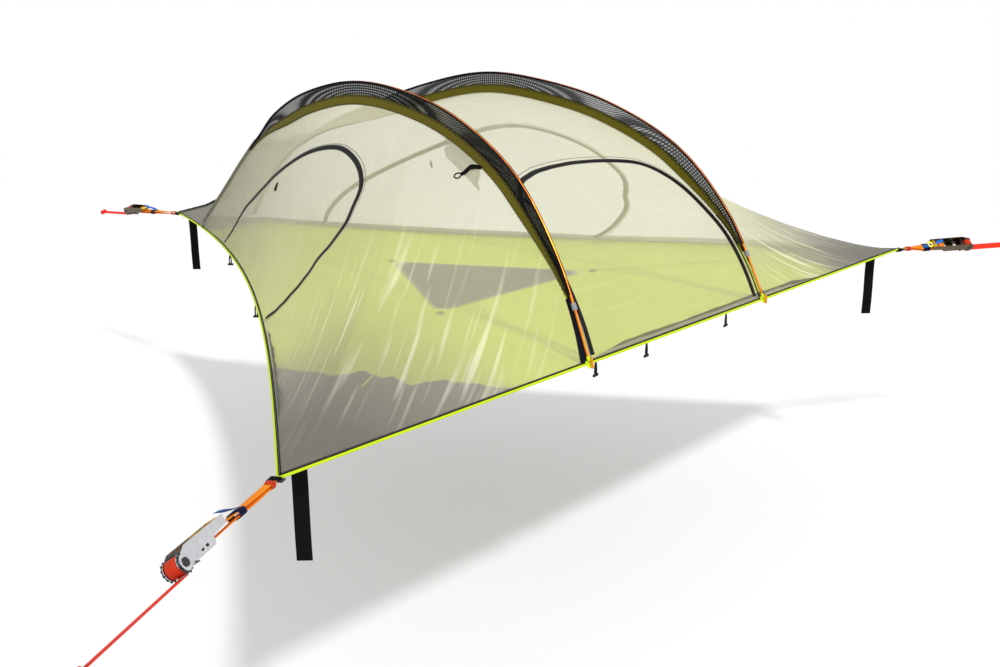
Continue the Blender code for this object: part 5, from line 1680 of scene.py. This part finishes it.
@dataclass
class Webbing:
    """Hanging strap, tree strap, sling with its ties, and wound webbing of one corner."""

    name: str

    def build(self) -> None:
        """Builds the corner's webbing."""
        self.hanging()
        self.tree_strap()
        self.sling()
        self.ties()
        self.roll()

    def hanging(self) -> None:
        """Black strap that hangs under the corner."""
        top = TIPS[self.name] - outward_of(self.name) * HANGING_INBOARD - Vector((0, 0, HANGING_SINK))
        facing = Vector((math.cos(HANGING_TURN), math.sin(HANGING_TURN), 0))
        line = spread(lambda share: top + facing * HANGING_WAVE * math.sin(2 * math.pi * share)
                      - UP * HANGING_LENGTH * share, 0, 1, 36)
        strap = sweep("hanging_webbing_" + self.name, Finishes.BLACK_WEBBING, line, facing, HANGING_BAND,
                      slot="black_webbing", stands_for="hanging_strap_" + self.name)
        length = sum((b - a).length for a, b in zip(line, line[1:]))
        tuple(line[0])
        [tuple(point) for point in line]

    def tree_strap(self) -> None:
        """Taut tree strap with a sewn eye at its end."""
        length = STRAP_REACHES[self.name] - SPOOL_REACHES[self.name]
        drop = ROLL_OUTER + ROLL_CLEAR + WEBBING_THICKNESS / 2
        place = strap_frame(self.name, SPOOL_REACHES[self.name]) @ Matrix.Translation((0, 0, -drop))
        end = length - 2 * STRAP_EYE_RADIUS
        line = spread(lambda share: place @ Vector((end * share, 0, 0)), 0, 1, 40)
        strap = sweep("tree_webbing_" + self.name, Finishes.ORANGE_WEBBING, line, place.to_3x3() @ UP,
                      STRAP_BAND, slot="orange_webbing", stands_for="tree_strap_" + self.name)
        centre = length - STRAP_EYE_RADIUS
        reach = STRAP_EYE_RADIUS - WEBBING_THICKNESS / 2
        loop = [place @ Vector((centre - reach * math.cos(angle), 0, reach * math.sin(angle)))
                for angle in turns(28)]
        facings = [(point - place @ Vector((centre, 0, 0))).normalized() for point in loop]
        eye = sweep("tree_webbing_eye_" + self.name, Finishes.ORANGE_WEBBING, loop, facings, STRAP_BAND,
                    closed=True, slot="orange_webbing")
        spots = [Vector((end - 0.006 - 0.008 * row, STRAP_STITCH_PITCH * (column - 4), WEBBING_THICKNESS / 2))
                 for row in range(4) for column in range(9)]
        box = repeated("tree_webbing_stitches_" + self.name, Finishes.THREAD, bar_unit(*STRAP_STITCH), spots,
                       SIDEWAYS, UP, place)
        tuple(line[0])
        [tuple(point) for point in line]

    def opened(self, reach: float) -> float:
        """How far the sling has widened and turned at a reach, from 0 at the ring to 1 before the ratchet."""
        return ramp(reach, SLING_START + SLING_RING_HOLD,
                    SPOOL_REACHES[self.name] - HANDLE_LENGTH - SLING_HANDLE_CLEAR)

    def sling(self) -> None:
        """Closed band of webbing from the corner ring to the ratchet, gathered at the ring and turning."""
        end = SPOOL_REACHES[self.name] - FRAME_LENGTH
        high, low = TAIL_BAR_RADIUS + BAR_CLEAR + WEBBING_THICKNESS / 2, SLING_RING_LOOP
        loop = []
        for centre, radius, first, other, other_radius in ((end, high, -1, SLING_START, low),
                                                           (SLING_START, low, 1, end, high)):
            for step in range(13):
                angle = math.pi / 2 * first + math.pi * step / 12
                loop.append(Vector((centre + radius * math.cos(angle), 0, radius * math.sin(angle))))
            start, stop = Vector((centre, 0, -radius * first)), Vector((other, 0, -other_radius * first))
            loop += [start.lerp(stop, step / 30) for step in range(1, 30)]
        line, facings, widths = [], [], []
        for index, point in enumerate(loop):
            share = self.opened(point.x)
            place = strap_frame(self.name, 0, share)
            tangent = (loop[(index + 1) % len(loop)] - loop[index - 1]).normalized()
            line.append(place @ point)
            facings.append(place.to_3x3() @ tangent.cross(SIDEWAYS))
            widths.append(SLING_GATHER_SHARE + (1 - SLING_GATHER_SHARE) * share)
        sweep("sling_webbing_" + self.name, Finishes.AMBER_WEBBING, line, facings, STRAP_BAND, closed=True,
              widths=widths, slot="orange_webbing", stands_for="sling_" + self.name)

    def ties(self) -> None:
        """Navy tie with its blue end, two red knots at the ring, and black webbing folded round the tip."""
        reach = (SPOOL_REACHES[self.name] - FRAME_LENGTH) * TIE_SHARE
        place = strap_frame(self.name, 0, self.opened(reach))
        self.wrap("sling_tie_" + self.name, Finishes.NAVY_WEBBING, place, reach, TIE_LENGTH,
                  STRAP_WIDTH / 2 + TIE_CLEAR, TIE_DEEP)
        tail = [Vector((reach - 0.02 + 0.11 * share, -0.006 * math.sin(5 * share), 0.0125 + 0.030 * share))
                for share in (step / 24 for step in range(25))]
        sweep("sling_tie_end_" + self.name, Finishes.BLUE_WEBBING, tail, UP, band(*TIE_BAND), place=place)
        flat = strap_frame(self.name, 0, 0)
        half = STRAP_WIDTH / 2 * SLING_GATHER_SHARE + KNOT_CLEAR
        for number, away in enumerate(KNOT_REACHES):
            self.wrap("sling_knot_%d_%s" % (number, self.name), Finishes.ROLL_WEBBING, flat,
                      SLING_START + away, KNOT_LENGTH, half - KNOT_CLEAR / 2 * number, KNOT_DEEP)
        fold = [Vector((x, 0, z)) for x, z in TIP_FOLD]
        facings = [Vector((x, 0, z)) for x, z in TIP_FACINGS]
        sweep("tip_webbing_" + self.name, Finishes.BLACK_WEBBING, fold, facings, band(*TIP_BAND), place=flat)

    @staticmethod
    def wrap(name: str, finish: Finish, place: Matrix, reach: float, length: float, half: float,
             deep: float) -> None:
        """Wraps a soft sleeve of webbing round a sling.

        Args:
            name: The piece's name.
            finish: Its finish.
            place: The sling's frame.
            reach: Where it sits along the sling.
            length: Its length along the sling.
            half: Half its width.
            deep: Half its thickness.
        """
        ring = []
        for angle in turns(24):
            c, s = math.cos(angle), math.sin(angle)
            ring.append(Vector((reach, half * math.copysign(abs(c) ** 0.5, c),
                                deep * math.copysign(abs(s) ** 0.5, s))))
        facings = [Vector((0, point.y / half, point.z / deep)).normalized() for point in ring]
        sweep(name, finish, ring, facings, band(length, WRAP_THICKNESS), closed=True, place=place)

    def roll(self) -> None:
        """Webbing wound on the spool as one unbroken spiral."""
        line, facings = [], []
        for step in range(ROLL_TURNS * 60 + 1):
            angle = 2 * math.pi * (step / 60 - 1 / 4)
            away = Vector((math.cos(angle), 0, math.sin(angle)))
            line.append(away * (ROLL_INNER + ROLL_PITCH * step / 60))
            facings.append(away)
        sweep("wound_webbing_" + self.name, Finishes.ROLL_WEBBING, line, facings, STRAP_BAND,
              body="spool_" + self.name, slot="orange_webbing", stands_for="webbing_roll_" + self.name,
              place=strap_frame(self.name, SPOOL_REACHES[self.name]))


@dataclass
class Ratchet:
    """Finer parts on one ratchet."""

    name: str

    def build(self) -> None:
        """Adds the gold grip sleeve with its ribs, the end tab and the rivets."""
        place = strap_frame(self.name, SPOOL_REACHES[self.name])
        handle = {"body": "handle_" + self.name, "slot": "chrome_handle", "place": place}
        centre = Vector((-HANDLE_LENGTH + GRIP_SETBACK, 0, GRIP_HEIGHT))
        line = [centre + SIDEWAYS * (-GRIP_HALF + 2 * GRIP_HALF * step / 12) for step in range(13)]
        sweep("grip_sleeve_" + self.name, Finishes.GOLD, line, UP, tube(*GRIP_SLEEVE), widths=GRIP_WIDTHS,
              **handle)
        aways = [Vector((math.cos(angle), 0, math.sin(angle))) for angle in turns(18)]
        repeated("grip_ribs_" + self.name, Finishes.GOLD, bar_unit(*GRIP_RIB),
                 [centre + away * RIB_REACH for away in aways], SIDEWAYS, aways, **handle)
        start = Vector((-HANDLE_LENGTH - 0.010, 0, GRIP_HEIGHT + 0.006))
        ring = [start + Vector((0.012 * math.cos(angle), 0.017 * math.sin(angle), 0)) for angle in turns(28)]
        sweep("grip_tab_" + self.name, Finishes.YELLOW, ring, UP, band(*END_TAB), closed=True, **handle)
        self.rivets(place)

    def rivets(self, place: Matrix) -> None:
        """Domed rivet heads on the frame's plates."""
        dome = bmesh.new()
        bmesh.ops.create_uvsphere(dome, u_segments=12, v_segments=6, radius=RIVET_RADIUS)
        for vert in dome.verts:
            vert.co.z = max(vert.co.z, 0) * RIVET_FLAT
        places = [(reach, side) for reach in RIVET_REACHES for side in (-1, 1)]
        repeated("frame_rivets_" + self.name, Finishes.THREAD, unit_of(dome),
                 [Vector((reach, side * PLATE_OUTER, -0.004)) for reach, side in places], Vector((1, 0, 0)),
                 [SIDEWAYS * side for _, side in places], place, slot="chrome_plate")


@dataclass
class Fittings:
    """Toggles, pull tabs, inner flap, hook strap and the finishes of the CAD's own hard pieces."""

    def build(self) -> None:
        """Builds the small fittings and paints the CAD nodes that stay."""
        for place in ("side_rear", "side_front", "foot_left", "door_left", "door_right"):
            self.toggle("toggle_" + place)
        for door in ("left", "right", "front"):
            self.pull_tab(door + "_door_pull")
        self.flap()
        self.hook_strap()
        self.paint()

    @staticmethod
    def toggle(name: str) -> None:
        """Elastic loop with a T-bar."""
        low, high = (Vector(corner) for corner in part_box(name))
        middle = (low + high) / 2
        across = SIDE_TOGGLE_BAR if name.startswith("toggle_side") else high - low
        across = Vector((across.x, across.y, 0)).normalized()
        top = Vector((middle.x, middle.y, high.z))
        bottom = Vector((middle.x, middle.y, low.z + TOGGLE_BAR_LIFT))
        path = [top + across * 0.0042 * math.sin(angle) * (1.2 - 0.4 * math.cos(angle))
                - UP * (high.z - low.z - TOGGLE_BAR_LIFT) * (1 - math.cos(angle)) / 2 for angle in turns(32)]
        sweep(name + "_loop", Finishes.RUBBER, path, across.cross(UP).normalized(), tube(*TOGGLE_CORD),
              closed=True, body=name, slot="black_toggle", stands_for=name)
        line = [bottom + across * (-0.015 + 0.030 * step / 10) for step in range(11)]
        sweep(name + "_bar", Finishes.PULL, line, UP, tube(*TOGGLE_BAR), body=name, slot="black_toggle",
              widths=TOGGLE_WIDTHS)

    @staticmethod
    def flap() -> None:
        """Grey flap that hangs inside from the left arch."""
        rows = []
        for step in range(25):
            start = Tent.base(0.232 + 0.058 * step / 24) + Vector((0.008, 0, -0.010))
            reach = 0.12 - 0.03 * step / 24
            rows.append([start + Vector((0.01 + 0.02 * place / 12,
                                         0.03 * place / 12 + 0.006 * math.sin(place), -reach * place / 12))
                         for place in range(13)])
        link(grid("inner_flap", rows, Vector((-1, 0, 0))), Finishes.FLAP,
             sheet=("hung", ["sleeve_fin_left"], 0.8))

    @staticmethod
    def hook_strap() -> None:
        """Short black strap with a hook that lies on the left panel below the arch."""
        line, normals = [], []
        for step in range(25):
            share = step / 24
            along, depth = 0.222 + 0.030 * share + 0.003 * math.sin(5 * share), 0.004 + 0.070 * share
            point = Tent.side_point(along, depth)
            ahead = Tent.side_point(along + 0.004, depth) - point
            down = Tent.side_point(along, depth + 0.008) - point
            normal = ahead.cross(down).normalized()
            normal = -normal if normal.x > 0 else normal
            line.append(point + normal * (0.005 + 0.004 * math.sin(math.pi * share)))
            normals.append(normal)
        sweep("hook_strap", Finishes.BLACK_WEBBING, line, normals, band(*HOOK_BAND),
              widths=[1.0 + 0.5 * math.exp(-((step - 8) / 3) ** 2) for step in range(25)])
        down = (line[-1] - line[-4]).normalized()
        side = down.cross(normals[-1]).normalized()
        ring = [line[-1] + down * 0.012 + (down * math.cos(angle) + side * math.sin(angle)) * 0.014
                for angle in (math.radians(-150 + 300 * step / 20) for step in range(21))]
        sweep("hook_strap_hook", Finishes.PULL, ring, normals[-1], tube(*HOOK))

    @staticmethod
    def pull_tab(name: str) -> None:
        """Moulded tab round a zip pull."""
        points = [vert.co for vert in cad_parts[name].data.vertices]
        levels = [point.z for point in points]
        ends = []
        for level in (max(levels), min(levels)):
            near = [point for point in points if abs(point.z - level) < 0.004]
            ends.append(sum(near, Vector()) / len(near))
        line = [ends[0].lerp(ends[1], 0.15 + 0.80 * step / 8) for step in range(9)]
        sweep(name + "_tab", Finishes.PULL, line, Vector((0, -1, 0)), tube(*PULL_TAB), body=name,
              slot="black_pull", widths=PULL_WIDTHS)

    @staticmethod
    def paint() -> None:
        """Gives every CAD node that stays its own finish."""
        finishes = {"arch_pole": Finishes.POLE, "sleeve_clip": Finishes.CLIP, "corner_ring": Finishes.RING,
                    "ratchet_frame": Finishes.CHROME, "ratchet_handle": Finishes.CHROME,
                    "ratchet_spool": Finishes.STEEL, "drive_pawl": Finishes.STEEL,
                    "lock_pawl": Finishes.STEEL, "left_door_pull": Finishes.PULL,
                    "right_door_pull": Finishes.PULL, "front_door_pull": Finishes.PULL}
        for name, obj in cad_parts.items():
            for start, finish in finishes.items():
                if name.startswith(start):
                    if finish is Finishes.CHROME and not name.endswith("front_left"):
                        finish = Finishes.DARK_PLATE
                    obj.data.materials.clear()
                    obj.data.materials.append(PAINTS.get(finish))
                    LOG.info("painted %s", name)


@dataclass
class Studio:
    """Camera, light and floor."""

    focal: float = 39.405
    eye: Tuple[float, float, float] = (-3.7047, -3.7854, 1.3024)
    yaw: float = 0.76061
    pitch: float = -0.29251
    roll: float = -0.00735
    floor_half: float = 40.0
    floor_shade: float = 0.72
    floor_glow: float = 0.22
    fade: Pair = (4.5, 9.0)
    world_light: float = 0.62

    def build(self) -> None:
        """Builds the camera, the world, the lamps and the stage."""
        self.camera()
        self.world()
        self.lamps()
        self.stage()
        bpy.context.scene.view_settings.view_transform = "Standard"

    def camera(self) -> None:
        """Camera at the photograph's own place."""
        data = bpy.data.cameras.new("camera")
        data.lens = self.focal
        data.sensor_width = 36.0
        data.clip_end = 200.0
        data.dof.use_dof = False
        obj = bpy.data.objects.new("camera", data)
        bpy.context.scene.collection.objects.link(obj)
        ahead = Vector((math.cos(self.yaw) * math.cos(self.pitch), math.sin(self.yaw) * math.cos(self.pitch),
                        math.sin(self.pitch)))
        right = Vector((math.sin(self.yaw), -math.cos(self.yaw), 0))
        up = right.cross(ahead)
        c, s = math.cos(self.roll), math.sin(self.roll)
        turn = Matrix((right * c + up * s, up * c - right * s, -ahead)).transposed()
        obj.matrix_world = Matrix.Translation(self.eye) @ turn.to_4x4()
        bpy.context.scene.camera = obj

    def world(self) -> None:
        """Plain pale light from all round, and pure white where the camera looks past the floor."""
        world = bpy.data.worlds.new("studio")
        bpy.context.scene.world = world
        world.use_nodes = True
        world.node_tree.nodes.clear()
        nodes = Nodes(world.node_tree)
        path = nodes.add("ShaderNodeLightPath").outputs
        seen = nodes.math("MAXIMUM", path["Is Camera Ray"],
                          nodes.math("MAXIMUM", path["Is Glossy Ray"], path["Is Transmission Ray"]))
        strength = nodes.reach(seen, first=self.world_light)
        back = nodes.add("ShaderNodeBackground", in_Color=(1, 1, 1, 1), in_Strength=strength)
        nodes.add("ShaderNodeOutputWorld", in_Surface=back.outputs[0])

    def lamps(self) -> None:
        """Sun overhead that casts the shadow, and a soft fill from the camera's left."""
        for name, place, width, power in (("key", Vector((-0.28, -0.82, 1.19)), 6, 1.9),
                                          ("fill", Vector((-1.5, -1.2, 0.9)), 40, 0.5)):
            data = bpy.data.lights.new(name, "SUN")
            data.angle = math.radians(width)
            data.energy = power
            data.use_shadow = name == "key"
            obj = bpy.data.objects.new(name, data)
            bpy.context.scene.collection.objects.link(obj)
            obj.rotation_euler = (-place).to_track_quat("-Z", "Y").to_euler()

    def stage(self) -> None:
        """Pale floor that keeps the shadow and fades into the white."""
        verts = [Vector((x * self.floor_half, y * self.floor_half, GROUND))
                 for x, y in ((-1, -1), (1, -1), (1, 1), (-1, 1))]
        obj = mesh_object("studio_floor", verts, [(0, 1, 2, 3)])
        bpy.context.scene.collection.objects.link(obj)
        material, nodes = new_material("studio_floor")
        away = nodes.add("ShaderNodeVectorMath", operation="LENGTH", in_0=nodes.place()).outputs["Value"]
        body = nodes.add("ShaderNodeBsdfDiffuse", in_Color=(*[self.floor_shade] * 3, 1))
        glow = nodes.add("ShaderNodeEmission", in_Color=(1, 1, 1, 1), in_Strength=self.floor_glow)
        both = nodes.add("ShaderNodeAddShader", in_0=body.outputs[0], in_1=glow.outputs[0])
        clear = nodes.add("ShaderNodeBsdfTransparent")
        mixed = nodes.add("ShaderNodeMixShader", in_0=nodes.reach(away, *self.fade), in_1=both.outputs[0],
                          in_2=clear.outputs[0])
        nodes.surface(mixed.outputs[0])
        obj.data.materials.append(material)


def main() -> None:
    """Builds the camera and the cords first, then everything else."""
    pieces = [Studio(), *(Webbing(name) for name in TIPS), Edge(), Floor(), Arch("left"), Arch("right"),
              Canopy(), *(Ratchet(name) for name in TIPS), Fittings()]
    for piece in pieces:
        piece.build()


if __name__ == "__main__":
    main()
